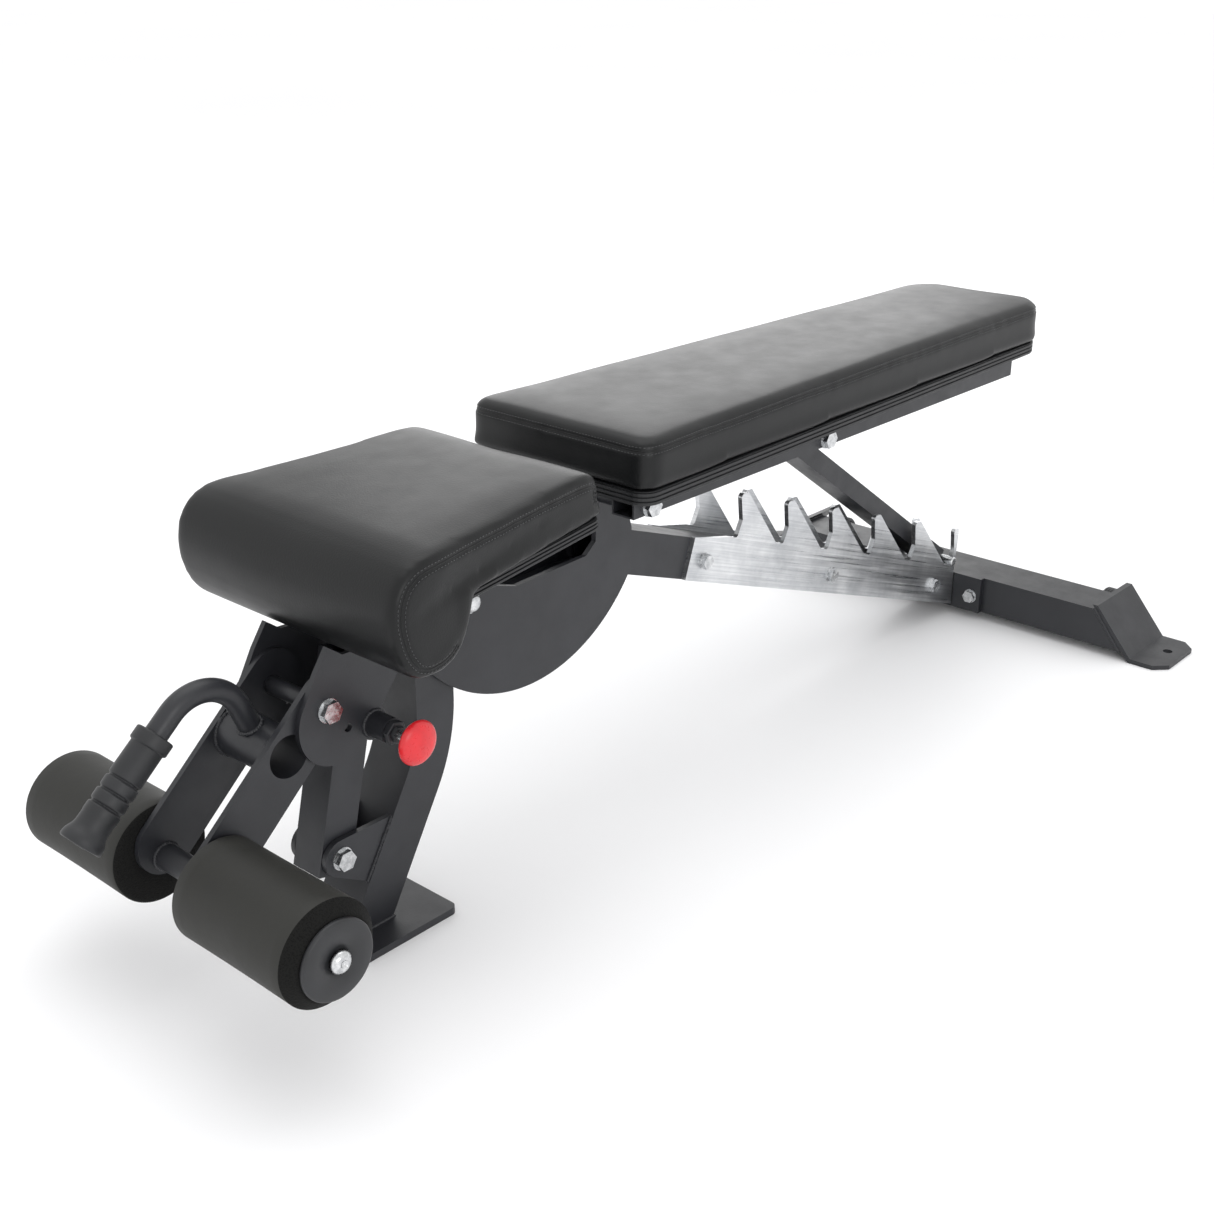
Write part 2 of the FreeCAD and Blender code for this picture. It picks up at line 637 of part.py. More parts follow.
rail_outer, rail_width = size("rail_outer"), size("rail_width")
rail_inner = rail_outer - rail_width
for side, sign in SIDES:
    bush = rail_inner - cheek_face - size("hinge_gap")
    turned("hinge_bush_" + side, "Y", [(-1 * bush / 2, bush / 2, size("hinge_bush_dia"))],
           hinge_x, sign * (cheek_face + bush / 2), hinge_z, bore=pivot_hole)

# ---------------------------------------------------------------- ladder
base, tip = size("ladder_base"), size("ladder_tip")
notch = size("ladder_notch") / 2
valleys = [-1 * size("ladder_last")]
for i in range(5):
    valleys.insert(0, valleys[0] - (size("ladder_pitch") - size("ladder_step") * i))
ladder_start = valleys[0] - size("ladder_lead")
ladder_end = -1 * size("flange_thick") - 2
ladder_points = [(ladder_start, 0), (ladder_end, 0), (ladder_end - tall * lean, tall)]
tips, roots = [], []
for valley in reversed(valleys):
    tooth = [(valley + 10, tip), (valley - 4, tip - 4)]
    heel = [(valley + notch, base), (valley - notch, base)]
    ladder_points += tooth + [(valley + notch + 3, base + 22)] + heel
    tips += tooth
    roots += heel
ladder_points += [(ladder_start + 14, tall + 1), (ladder_start, tall + 1)]
bolt_ends = (ladder_start + size("ladder_bolt_inset") - 8, ladder_end - 2 * size("ladder_bolt_inset"))
bolt_places = [bolt_ends[0], (bolt_ends[0] + bolt_ends[1]) / 2, bolt_ends[1]]
ladder_bolt = size("ladder_bolt_dia")
for side, sign in SIDES:
    side_plate("ladder_plate_" + side, ladder_points, plate, sign * (half_beam + plate / 2),
               holes=[(u, tall / 2, ladder_bolt) for u in bolt_places],
               rounds=[(tips, dim(5)), (roots, dim(5))], pitch=slope, x=beam_x, z=beam_z)
for number, u in enumerate(bolt_places, 1):
    bolt_x, bolt_z = from_beam(u, tall / 2)
    bolt("ladder_bolt_%d" % number, "Y", bolt_x, ZERO, bolt_z, cheek_face, ladder_bolt)
beam_body = doc.getObject("main_beam")
drill(beam_body, [(u, tall / 2, ladder_bolt) for u in bolt_places])

# ---------------------------------------------------------------- front leg, foot and post
leg_half = size("leg_depth") / 2
leg_wall = size("leg_wall")
leg_x, knee_z = size("leg_x"), size("leg_knee_z")
leg_lean = size("leg_lean")
leg_top = seat_beam_z + size("seat_beam_height")
foot_top = size("foot_thick")


def leg_ring(sketch, shift):
    for back, across in ((leg_half, half_beam), (leg_half - leg_wall, half_beam - leg_wall)):
        add_outline(sketch, [(shift - back, -1 * across), (shift + back, -1 * across),
                             (shift + back, across), (shift - back, across)])


leg = bent_tube("front_leg", [(leg_x, leg_top), (leg_x, knee_z),
                              (leg_x - (knee_z + 40) * tangent(leg_lean), dim(-40))],
                size("leg_bend"), leg_ring)
# the leg's own Z points down, so its foot is a height measured from the top
level = new_sketch(leg, "FloorCut")
floor_at = leg_top - foot_top
add_outline(level, [(-220, floor_at), (260, floor_at), (260, floor_at + 90), (-220, floor_at + 90)])
pocket(leg, level, name="Level")

foot = new_body("front_foot_plate")
foot_half, foot_corner = size("foot_half"), size("foot_corner")
foot_long = size("foot_length")
foot_pad = slice_pad(foot, "Z", 0, foot_top, lambda sketch: add_outline(sketch, [
    (0, -1 * foot_half), (foot_long, -1 * foot_half), (foot_long, foot_half), (0, foot_half)]),
    "Plate")
round_corners(foot, foot_pad, [(0, -1 * foot_half), (foot_long, -1 * foot_half),
                               (foot_long, foot_half), (0, foot_half)], foot_corner, "Corners",
              (0, 0, 1))
move(foot, size("foot_front"), ZERO, ZERO)

post_x, post_z = size("post_x"), size("post_z")
pin_x, pin_z = size("pin_x"), size("pin_z")
post_half = size("post_side") / 2
ear_inner = post_half + size("post_gap")
leg_ear = size("leg_ear")


def leg_face(z):
    """X of the leaning leg's front face at a height."""
    return leg_x - leg_half / cosine(leg_lean) - (knee_z - z) * tangent(leg_lean)


ear_high, ear_low = post_z + leg_ear, post_z - 2 * leg_ear
for side, sign in SIDES:
    side_plate("leg_ear_" + side,
               [(post_x, ear_high), (post_x - 10, post_z - 17), (leg_face(ear_low), ear_low),
                (leg_face(ear_high), ear_high)],
               plate, sign * (ear_inner + plate / 2), discs=[(post_x, post_z, 2 * leg_ear)],
               holes=[(post_x, post_z, bolt_dia)])
bolt("post_pivot_bolt", "Y", post_x, ZERO, post_z, ear_inner + plate, bolt_dia)

post_pitch = slope_of(pin_x - post_x, pin_z - post_z)
post_reach = root((pin_x - post_x) * (pin_x - post_x) + (pin_z - post_z) * (pin_z - post_z))
post_wall = size("post_wall")
post_tail, post_top = size("post_tail"), size("post_length") - size("post_tail")
post = side_tube("post_tube",
                 [(-1 * post_half, -1 * post_tail), (post_half, -1 * post_tail),
                  (post_half, post_top), (-1 * post_half, post_top)],
                 [(post_wall - post_half, -1 * post_tail - 5), (post_half - post_wall, -1 * post_tail - 5),
                  (post_half - post_wall, post_top + 5), (post_wall - post_half, post_top + 5)],
                 size("post_side"), post_wall, holes=[(0, 0, pivot_hole)], pitch=post_pitch,
                 x=post_x, z=post_z)
slot_half = size("pin_dia") / 2 + size("slot_clearance")
slot_top = post_reach + size("pin_travel")
slot = new_sketch(post, "Slot")
add_outline(slot, [(-1 * slot_half, post_reach), (slot_half, post_reach), (slot_half, slot_top),
                   (-1 * slot_half, slot_top)])
pocket(post, slot, post_half + 1, midplane=False, name="SlotCut", back=True)
slot_ends = new_sketch(post, "SlotEnds")
for at in (post_reach, slot_top):
    add_circle(slot_ends, 0, at, 2 * slot_half)
pocket(post, slot_ends, post_half + 1, midplane=False, name="SlotEndCut", back=True)
bolt("seat_pivot_bolt", "Y", seat_x, ZERO, seat_z, cheek_face, bolt_dia, dome=True)

# ---------------------------------------------------------------- seat
rise = tangent(size("seat_rise"))
board_x = size("seat_board_front")
board_z = size("seat_board_z")


def under_board(x):
    """Height of the seat board's underside."""
    return board_z + (x - board_x) * rise


seat_rail_half = size("seat_rail_half")
seat_rail_ear = size("seat_rail_ear")
seat_rear = size("seat_front") + size("seat_length")
for side, sign in SIDES:
    front, rear = board_x + 26, seat_rear - 10
    side_plate("seat_rail_" + side,
               [(front, under_board(front)), (front, under_board(front) - 14),
                (seat_x - 14, seat_z + 4), (seat_x + 14, seat_z + 4),
                (rear, under_board(rear) - 14), (rear, under_board(rear))],
               plate, sign * (seat_rail_half - plate / 2),
               discs=[(seat_x, seat_z, 2 * seat_rail_ear)], holes=[(seat_x, seat_z, pivot_hole)])

hanger_x, hanger_z = size("hanger_x"), size("hanger_z")
hanger_r, hanger_half = size("hanger_radius"), size("hanger_half")
hanger_bolt_x, hanger_bolt_z = size("hanger_bolt_x"), size("hanger_bolt_z")
board_thick = size("seat_board_thick")
hanger_front = board_x + 8
hanger_rear = hanger_front + 54
hanger_points = [
    (hanger_x - 44, hanger_z + 8), (hanger_x + 40, hanger_z - 20), (pin_x + 34, pin_z + 44),
    (hanger_rear, seat_z - 2), (hanger_rear, under_board(hanger_rear)),
    (hanger_front, under_board(hanger_front)), (hanger_front, under_board(hanger_front) - 26),
    (hanger_x + 64, seat_z + 2), (hanger_x + 10, seat_z + 5), (hanger_x - 6, seat_z + 17),
    (hanger_x - 22, seat_z - 6), (hanger_x - 36, hanger_z + 27)]
for side, sign in SIDES:
    side_plate("hanger_plate_" + side, hanger_points, plate, sign * (hanger_half - plate / 2),
               discs=[(hanger_x, hanger_z, 2 * hanger_r), (pin_x, pin_z, size("housing_dia") + 8)],
               holes=[(hanger_bolt_x, hanger_bolt_z, bolt_dia),
                      (pin_x, pin_z, size("pin_dia") + 2 * size("running_fit")),
                      (hanger_x + 11, hanger_z - 12, 9)])

board = new_body("seat_board")
front_half, rear_half = size("seat_front_half"), size("seat_rear_half")
inset = size("board_inset")
board_long = (seat_rear - board_x) / cosine(size("seat_rise"))
slice_pad(board, "Z", 0, board_thick, lambda sketch: add_outline(sketch, [
    (0, inset - front_half + 8), (board_long - inset, inset - rear_half),
    (board_long - inset, rear_half - inset), (0, front_half - inset - 8)]), "Plate")
move(board, board_x, ZERO, board_z, -1 * size("seat_rise"))

seat_front = size("seat_front")
crown = size("seat_crown_z")
lobe_low, lobe_rear = size("lobe_low_z"), size("seat_front") + size("lobe_depth")


def over_board(x):
    return under_board(x) + board_thick / cosine(size("seat_rise"))


cushion = new_body("seat_pad")
outline = new_sketch(cushion, "Outline")
add_outline(outline, [
    (seat_front + 39, lobe_low), (seat_front + 60, lobe_low + 4), (lobe_rear - 12, lobe_low + 20),
    (lobe_rear, lobe_low + 48), (lobe_rear, over_board(lobe_rear)), (seat_rear, over_board(seat_rear)),
    (seat_rear, crown + 4), (seat_rear - 10, crown + 11), (seat_front + 26, crown),
    (seat_front + 6, crown - 18), (seat_front, crown - 42), (seat_front + 5, crown - 74),
    (seat_front + 20, lobe_low + 12)])
pad(cushion, outline, 2 * front_half)
taper = new_sketch(cushion, "Taper", "XY_Plane")
for side, sign in SIDES:
    add_outline(taper, [(seat_front + 60, sign * front_half), (seat_rear + 1, sign * rear_half),
                        (seat_rear + 1, sign * (front_half + 2)),
                        (seat_front + 60, sign * (front_half + 2))])
pocket(cushion, taper, name="TaperCut")
move(cushion)

# ---------------------------------------------------------------- roller arms, rollers and handle
arm_half, arm_width = size("arm_half"), size("arm_width")
arm_x, arm_z = size("arm_top_x"), size("arm_top_z")
axle_x, axle_z = size("axle_x"), size("axle_z")
tie_x, tie_z = size("tie_x"), size("tie_z")
low_x, low_z = size("arm_low_x"), size("arm_low_z")
arm_fall = slope_of(arm_x - low_x, arm_z - low_z)
off_x, off_z = arm_width / 2 * cosine(arm_fall), arm_width / 2 * sine(arm_fall)
for side, sign in SIDES:
    side_plate("roller_arm_" + side,
               [(low_x + off_x, low_z - off_z), (arm_x + off_x, arm_z - off_z),
                (arm_x - off_x, arm_z + off_z), (low_x - off_x, low_z + off_z)],
               plate, sign * (arm_half - plate / 2),
               discs=[(low_x, low_z, arm_width), (arm_x, arm_z, arm_width)],
               holes=[(axle_x, axle_z, size("axle_dia")), (tie_x, tie_z, size("tie_dia")),
                      (hanger_bolt_x, hanger_bolt_z, bolt_dia)])
bolt("hanger_bolt", "Y", hanger_bolt_x, ZERO, hanger_bolt_z, hanger_half, bolt_dia)
turned("tie_tube", "Y", [(-1 * arm_half, arm_half, size("tie_dia"))], tie_x, ZERO, tie_z,
       bore=size("tie_dia") - 2 * size("tie_wall"))
roller_in, roller_long = size("roller_inner"), size("roller_length")
roller_out = roller_in + roller_long
axle = turned("roller_axle", "Y", [(-1 * roller_out, roller_out, size("axle_dia"))],
              axle_x, ZERO, axle_z, bore=size("cap_bolt_dia"))
cap_thick = size("cap_thick")
for side, sign in SIDES:
    middle = sign * (roller_in + roller_long / 2)
    rim = size("roller_chamfer")
    foam = turned("roller_foam_" + side, "Y",
                  [(-1 * roller_long / 2, roller_long / 2, size("roller_dia"))],
                  axle_x, middle, axle_z, bore=size("axle_dia") + 2 * size("running_fit"),
                  domes=[(roller_long / 2, size("roller_dia"), rim),
                         (-1 * roller_long / 2, size("roller_dia"), rim)])
    turned("roller_cap_" + side, "Y", [(-1 * cap_thick / 2, cap_thick / 2, size("cap_dia"))],
           axle_x, sign * (roller_out + cap_thick / 2), axle_z,
           bore=size("cap_bolt_dia") + 2 * size("running_fit"),
           domes=[(sign * cap_thick / 2, size("cap_dia"), 3)])
    head_from, head_to = roller_out + cap_thick + 0.3, roller_out + cap_thick + 7.3
    stub = roller_out - 30
    span = [(stub, head_from, size("cap_bolt_dia")), (head_from, head_to, dim(22))]
    if sign < 0:
        span = [(-1 * end, -1 * start, width) for start, end, width in span]
    turned("roller_bolt_" + side, "Y", span, axle_x, ZERO, axle_z,
           domes=[(sign * head_to, dim(22), 5)])

handle_path = [(tie_x, tie_z), (size("handle_crest_x"), size("handle_crest_z")),
               (size("handle_end_x"), size("handle_end_z"))]


def handle_ring(sketch, shift):
    add_circle(sketch, shift, 0, size("handle_dia"))
    add_circle(sketch, shift, 0, size("handle_dia") - 2 * size("handle_wall"))


handle = bent_tube("handle_tube", handle_path, size("handle_bend"), handle_ring, start=dim(12))
cope = new_sketch(handle, "Cope")
add_circle(cope, 0, 0, size("tie_dia"))
pocket(handle, cope, name="CopeCut")
one, two, turn, first = bend_local(handle_path)
fall = first + turn
grip_long = size("grip_length")
turned("handle_grip", "Z", [(-1 * grip_long, -1 * grip_long + 6, size("grip_dia") + 4),
                            (-1 * grip_long + 6, -14, size("grip_dia")),
                            (-14, ZERO, size("grip_flare"))],
       size("handle_end_x"), ZERO, size("handle_end_z"), bore=size("handle_dia"), pitch=fall,
       domes=[(ZERO, size("grip_flare"), 4), (-14, size("grip_flare"), 2.5)])

# ---------------------------------------------------------------- pull pin
pin_dia = size("pin_dia")
housing_end = hanger_half + size("housing_length")
knob_from = size("knob_start")
turned("pin_housing", "Y", [(-1 * housing_end, -1 * hanger_half, size("housing_dia"))],
       pin_x, ZERO, pin_z, bore=pin_dia + 2 * size("running_fit"))
turned("pull_pin", "Y", [(-1 * knob_from - 12, -1 * size("pin_tip"), pin_dia)], pin_x, ZERO, pin_z,
       domes=[(-1 * size("pin_tip"), pin_dia, 2)])
knob_to = knob_from + size("knob_length")
turned("pull_knob", "Y", [(-1 * knob_from - 9, -1 * knob_from, dim(24)),
                          (-1 * knob_to, -1 * knob_from - 9, size("knob_dia"))],
       pin_x, ZERO, pin_z,
       domes=[(-1 * knob_to, size("knob_dia"), 6), (-1 * knob_from - 9, size("knob_dia"), 5)])
knob_bore = new_sketch(doc.getObject("pull_knob"), "Socket", "XZ_Plane", knob_from + 12)
add_circle(knob_bore, 0, 0, pin_dia)
pocket(doc.getObject("pull_knob"), knob_bore, 40, midplane=False, name="SocketCut")

# ---------------------------------------------------------------- backrest
rail_z, rail_tall = size("rail_z"), size("rail_height")
rail_front, rail_long = size("rail_front"), size("rail_length")
rail_top = rail_z + rail_tall
strut_x = hinge_x + size("strut_reach")
rail_wall = size("rail_wall")
for side, sign in SIDES:
    straight_tube("back_rail_" + side, rail_long, rail_tall, rail_width, rail_wall, rail_front,
                  sign * (rail_inner + rail_width / 2), rail_z,
                  holes=[(hinge_x - rail_front, hinge_z - rail_z, bolt_dia),
                         (strut_x - rail_front, hinge_z - rail_z, bolt_dia)])
brace = size("brace_depth")
head_brace = size("back_front") + size("back_length") - size("brace_setback") - brace
for label, at in (("front", size("brace_front")), ("head", head_brace)):
    body = new_body("back_brace_" + label)
    slice_pad(body, "Y", -1 * rail_inner, rail_inner, lambda sketch: add_outline(sketch, [
        (0, 0), (brace, 0), (brace, rail_tall), (0, rail_tall)]), "Bar")
    hollow = new_sketch(body, "Bore")
    add_outline(hollow, [(rail_wall, rail_wall), (brace - rail_wall, rail_wall),
                         (brace - rail_wall, rail_tall - rail_wall),
                         (rail_wall, rail_tall - rail_wall)])
    pocket(body, hollow, name="Hollow")
    move(body, at, ZERO, rail_z)
bolt("hinge_bolt", "Y", hinge_x, ZERO, hinge_z, rail_outer, bolt_dia)
bolt("strut_pivot_bolt", "Y", strut_x, ZERO, hinge_z, rail_outer, bolt_dia)

back_long, corner = size("back_length"), size("back_corner")
foot_w, head_w = size("back_front_half"), size("back_head_half")


def back_plan(sketch, shrink):
    """Tapered outline with cut head corners, set in by shrink all round."""
    edge = [(shrink, foot_w - shrink), (back_long - corner, head_w - shrink),
            (back_long - shrink, head_w - corner)]
    mirrored = [(x, -1 * y) for x, y in edge]
    add_outline(sketch, edge + mirrored[::-1])


for name, shrink, low, high in (
        ("back_board", inset, rail_top, rail_top + size("back_board_thick")),
        ("back_pad", ZERO, rail_top + size("back_board_thick"),
         rail_top + size("back_board_thick") + size("back_pad_thick"))):
    body = new_body(name)
    slice_pad(body, "Z", low, high, lambda sketch: back_plan(sketch, shrink), "Plate")
    move(body, size("back_front"), ZERO, ZERO)

# ---------------------------------------------------------------- strut
strut_half = size("strut_width") / 2
rest_x, rest_z = from_beam(valleys[-1], base + size("strut_pin_dia") / 2 + size("strut_gap"))
strut_long = root((rest_x - strut_x) * (rest_x - strut_x) + (hinge_z - rest_z) * (hinge_z - rest_z))
strut_fall = slope_of(hinge_z - rest_z, rest_x - strut_x)
strut_wall = size("strut_wall")
low = size("strut_rise") - size("strut_depth") / 2
high = low + size("strut_depth")
side_tube("strut_tube", [(-4, low), (strut_long + size("strut_end"), low),
                         (strut_long + size("strut_end"), high), (4, high), (-5, high - 5),
                         (-10.5, high - 11.5), (-10.5, low + 6.5)],
          [(-20, low + strut_wall), (strut_long + 30, low + strut_wall),
           (strut_long + 30, high - strut_wall), (-20, high - strut_wall)],
          size("strut_width"), strut_wall,
          holes=[(0, 0, pivot_hole), (strut_long, 0, size("strut_pin_dia"))],
          pitch=strut_fall, x=strut_x, z=hinge_z)
pin_half = size("strut_pin_half")
turned("strut_pin", "Y", [(-1 * pin_half, pin_half, size("strut_pin_dia"))], rest_x, ZERO, rest_z,
       domes=[(pin_half, size("strut_pin_dia"), 2), (-1 * pin_half, size("strut_pin_dia"), 2)])

# ---------------------------------------------------------------- check and write
doc.recompute()
for item in doc.Objects:
    if "Invalid" in item.State or "Error" in item.State:
        raise RuntimeError("%s does not compute" % item.Name)
parts = [item for item in doc.Objects if item.TypeId == "PartDesign::Body"]
for part in parts:
    if part.Shape.isNull() or not part.Shape.isValid() or len(part.Shape.Solids) != 1:
        raise RuntimeError("%s is not one valid solid" % part.Name)
os.makedirs("parts", exist_ok=True)
for part in parts:
    part.Shape.exportStep("parts/%s.step" % part.Label)
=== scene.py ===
"""Looks of an adjustable weight bench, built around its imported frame."""
import json
import math

import bmesh
import bpy
import numpy
from mathutils import Matrix, Vector, noise
from mathutils.bvhtree import BVHTree
from mathutils.geometry import interpolate_bezier
from mathutils.kdtree import KDTree


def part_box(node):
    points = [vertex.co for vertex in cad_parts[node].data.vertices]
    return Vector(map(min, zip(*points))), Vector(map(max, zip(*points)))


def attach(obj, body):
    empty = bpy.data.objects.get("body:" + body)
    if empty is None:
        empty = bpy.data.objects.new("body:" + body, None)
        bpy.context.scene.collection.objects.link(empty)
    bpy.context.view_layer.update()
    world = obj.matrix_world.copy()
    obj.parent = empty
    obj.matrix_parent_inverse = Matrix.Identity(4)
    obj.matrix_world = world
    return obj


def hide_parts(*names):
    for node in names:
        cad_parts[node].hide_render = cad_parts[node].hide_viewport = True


bl_info = {
    "name": "Weight bench",
    "version": (1, 0, 0),
    "blender": (4, 5, 0),
    "location": "3D View > Sidebar > Bench",
    "description": "Builds the upholstery, rollers, grips and finishes of a weight bench",
    "category": "Object",
}

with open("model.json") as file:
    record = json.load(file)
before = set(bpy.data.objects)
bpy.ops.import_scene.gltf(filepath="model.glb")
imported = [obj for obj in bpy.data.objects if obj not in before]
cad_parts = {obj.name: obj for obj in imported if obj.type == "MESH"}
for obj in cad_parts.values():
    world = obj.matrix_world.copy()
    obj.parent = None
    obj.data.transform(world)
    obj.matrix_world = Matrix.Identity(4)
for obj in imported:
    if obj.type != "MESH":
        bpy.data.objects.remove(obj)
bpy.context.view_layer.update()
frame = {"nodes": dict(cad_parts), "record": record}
MM = 0.001


def linear(text):
    """Linear RGBA of an sRGB hex colour."""
    parts = [int(text[i:i + 2], 16) / 255 for i in (0, 2, 4)]
    return [c / 12.92 if c <= 0.04045 else ((c + 0.055) / 1.055) ** 2.4 for c in parts] + [1.0]


# ------------------------------------------------------------------ settings
class BenchSettings(bpy.types.PropertyGroup):
    """Sizes and colours of the bench's soft parts and finishes."""

    seam_drop: bpy.props.FloatProperty(
        name="Seam drop", description="How far the top seam lies below the crown of a pad",
        default=0.009, min=0.002, max=0.03, unit="LENGTH")
    stitch_spacing: bpy.props.FloatProperty(
        name="Stitch spacing", description="Distance from one stitch to the next",
        default=0.0042, min=0.002, max=0.02, unit="LENGTH")
    stitch_length: bpy.props.FloatProperty(
        name="Stitch length", description="Visible length of one stitch",
        default=0.0028, min=0.001, max=0.01, unit="LENGTH")
    pad_fill: bpy.props.FloatProperty(
        name="Pad fill", description="Air pressure that swells the pads while they settle",
        default=4.0, min=0.0, max=20.0)
    rib_depth: bpy.props.FloatProperty(
        name="Trim rib depth", description="Depth of the grooves in the edge trim under the pads",
        default=0.0016, min=0.0, max=0.004, unit="LENGTH")
    weld_width: bpy.props.FloatProperty(
        name="Weld width", description="Width of the weld beads",
        default=0.0055, min=0.002, max=0.015, unit="LENGTH")
    coat_colour: bpy.props.FloatVectorProperty(
        name="Powder coat", description="Colour of the painted steel", subtype="COLOR", size=4,
        default=linear("222327"))
    vinyl_colour: bpy.props.FloatVectorProperty(
        name="Vinyl", description="Colour of the upholstery", subtype="COLOR", size=4,
        default=linear("0e0f10"))
    foam_colour: bpy.props.FloatVectorProperty(
        name="Foam skin", description="Colour of the rollers' skin", subtype="COLOR", size=4,
        default=linear("262623"))
    knob_colour: bpy.props.FloatVectorProperty(
        name="Knob", description="Colour of the pull knob", subtype="COLOR", size=4,
        default=linear("d9222b"))


def settings():
    return bpy.context.scene.bench


# ------------------------------------------------------------------ materials
def add(tree, kind, inputs=None, **values):
    """A node with its settings; an input given as a socket is linked, anything else is set."""
    made = tree.nodes.new(kind)
    for key, value in values.items():
        setattr(made, key, value)
    for key, value in (inputs or {}).items():
        if isinstance(value, bpy.types.NodeSocket):
            tree.links.new(value, made.inputs[key])
        else:
            made.inputs[key].default_value = value
    return made


def start_material(name, **shader):
    """New material with a Principled shader; keywords are its socket values by name."""
    material = bpy.data.materials.new(name)
    material.use_nodes = True
    tree = material.node_tree
    body = tree.nodes["Principled BSDF"]
    for key, value in shader.items():
        body.inputs[key.replace("_", " ")].default_value = value
    return material, tree, body


def mix_colours(tree, factor, first, second):
    mixed = add(tree, "ShaderNodeMix", data_type="RGBA")
    tree.links.new(factor, mixed.inputs[0])
    mixed.inputs[6].default_value = first
    mixed.inputs[7].default_value = second
    return mixed.outputs[2]


def shade(colour, factor):
    return [c * factor for c in colour[:3]] + [1.0]


def tint(tree, body, field, low, high, start=0.3, end=0.7):
    """Base colour between two colours by a field."""
    tree.links.new(mix_colours(tree, spread(tree, field, 0, 1, start, end), low, high),
                   body.inputs["Base Color"])


def spread(tree, factor, low, high, start=0.3, end=0.7):
    """Map Range of a 0 to 1 field."""
    return add(tree, "ShaderNodeMapRange", {"Value": factor, "From Min": start, "From Max": end,
                                            "To Min": low, "To Max": high}).outputs[0]


def place(tree, stretch=(1, 1, 1), turn=(0, 0, 0)):
    """Object coordinates, stretched and turned."""
    where = add(tree, "ShaderNodeTexCoord")
    return add(tree, "ShaderNodeMapping", {"Vector": where.outputs["Object"], "Scale": stretch,
                                           "Rotation": turn}).outputs[0]


def noise_field(tree, vector, size, detail=3.0, roughness=0.55):
    """Noise whose blobs are about size metres across."""
    return add(tree, "ShaderNodeTexNoise", {"Vector": vector, "Scale": 1 / size, "Detail": detail,
                                            "Roughness": roughness}).outputs["Fac"]


def relief(tree, body, height, depth, strength=1.0, under=None):
    """Bump of a real depth in metres, optionally on top of another bump."""
    inputs = {"Height": height, "Distance": depth, "Strength": strength}
    if under is not None:
        inputs["Normal"] = under
    bump = add(tree, "ShaderNodeBump", inputs)
    tree.links.new(bump.outputs[0], body.inputs["Normal"])
    return bump.outputs[0]


def powder_coat():
    """Polyester powder coat, baked: satin black with a faint orange peel and dust-grey scuffs."""
    colour = settings().coat_colour
    material, tree, body = start_material("Powder coat satin black", Roughness=0.42,
                                          Specular_IOR_Level=0.5)
    where = place(tree)
    cloud = noise_field(tree, where, 0.09, 4)
    tint(tree, body, cloud, shade(colour, 0.82), shade(colour, 1.18))
    wear = noise_field(tree, where, 0.03, 6, 0.65)
    tree.links.new(spread(tree, wear, 0.36, 0.5), body.inputs["Roughness"])
    # orange peel is about 1.2 mm across; drawn at 2 mm so that it shows
    relief(tree, body, noise_field(tree, where, 0.002, 2), 0.00012, 0.6)
    return material


def galvanised_plate():
    """Cold rolled plate, zinc dipped and brushed: bright, streaked along its length."""
    material, tree, body = start_material("Galvanised brushed plate", Metallic=1.0, Roughness=0.3)
    turned = place(tree, (1, 1, 1), (0, math.radians(-19.7), 0))
    # brush marks about 150 mm long and 2 mm wide, along the ladder's slope
    drawn = add(tree, "ShaderNodeMapping", {"Vector": turned, "Scale": (6, 60, 420)}).outputs[0]
    streaks = noise_field(tree, drawn, 1.0, 5.0, 0.6)
    cloud = noise_field(tree, turned, 0.05, 4, 0.6)
    tone = add(tree, "ShaderNodeMath", {0: streaks, 1: cloud}, operation="MULTIPLY").outputs[0]
    tint(tree, body, tone, linear("a6a9ad"), linear("f0f1f2"), 0.05, 0.45)
    tree.links.new(spread(tree, streaks, 0.24, 0.42), body.inputs["Roughness"])
    relief(tree, body, streaks, 0.00008, 0.5)
    return material


def zinc_fastener():
    """Electroplated zinc on forged steel: bright, a little mottled."""
    material, tree, body = start_material("Zinc plated fastener", Metallic=1.0, Roughness=0.24)
    where = place(tree)
    cloud = noise_field(tree, where, 0.006, 4)
    tint(tree, body, cloud, linear("a9abad"), linear("e3e4e5"))
    tree.links.new(spread(tree, cloud, 0.17, 0.34), body.inputs["Roughness"])
    relief(tree, body, noise_field(tree, where, 0.0012, 2), 0.00006, 0.5)
    return material


def upholstery_vinyl():
    """PVC leatherette, embossed: black with a soft grey sheen and a fine pebble grain."""
    colour = settings().vinyl_colour
    material, tree, body = start_material("Upholstery vinyl", Roughness=0.4,
                                          Specular_IOR_Level=0.3)
    where = place(tree)
    cloud = noise_field(tree, where, 0.12, 5, 0.6)
    tint(tree, body, cloud, shade(colour, 0.85), shade(colour, 1.15))
    tree.links.new(spread(tree, noise_field(tree, where, 0.03, 4), 0.37, 0.42),
                   body.inputs["Roughness"])
    # the emboss is about 1 mm; drawn at 1.6 mm so that it shows
    grain = add(tree, "ShaderNodeTexVoronoi", {"Vector": where, "Scale": 1 / 0.0016,
                                               "Randomness": 0.9}, feature="SMOOTH_F1").outputs[0]
    first = relief(tree, body, grain, 0.00018, 0.5)
    soft = noise_field(tree, place(tree, (1.0, 1.6, 1.0)), 0.035, 4, 0.5)
    relief(tree, body, soft, 0.0003, 0.25, first)
    return material


def thread():
    """Bonded polyester thread, black with a faint shine."""
    material, tree, body = start_material("Bonded thread", Roughness=0.5, Sheen_Weight=0.2)
    where = place(tree)
    twist = noise_field(tree, where, 0.0006, 2)
    tint(tree, body, twist, linear("17181a"), linear("3a3b3e"))
    return material


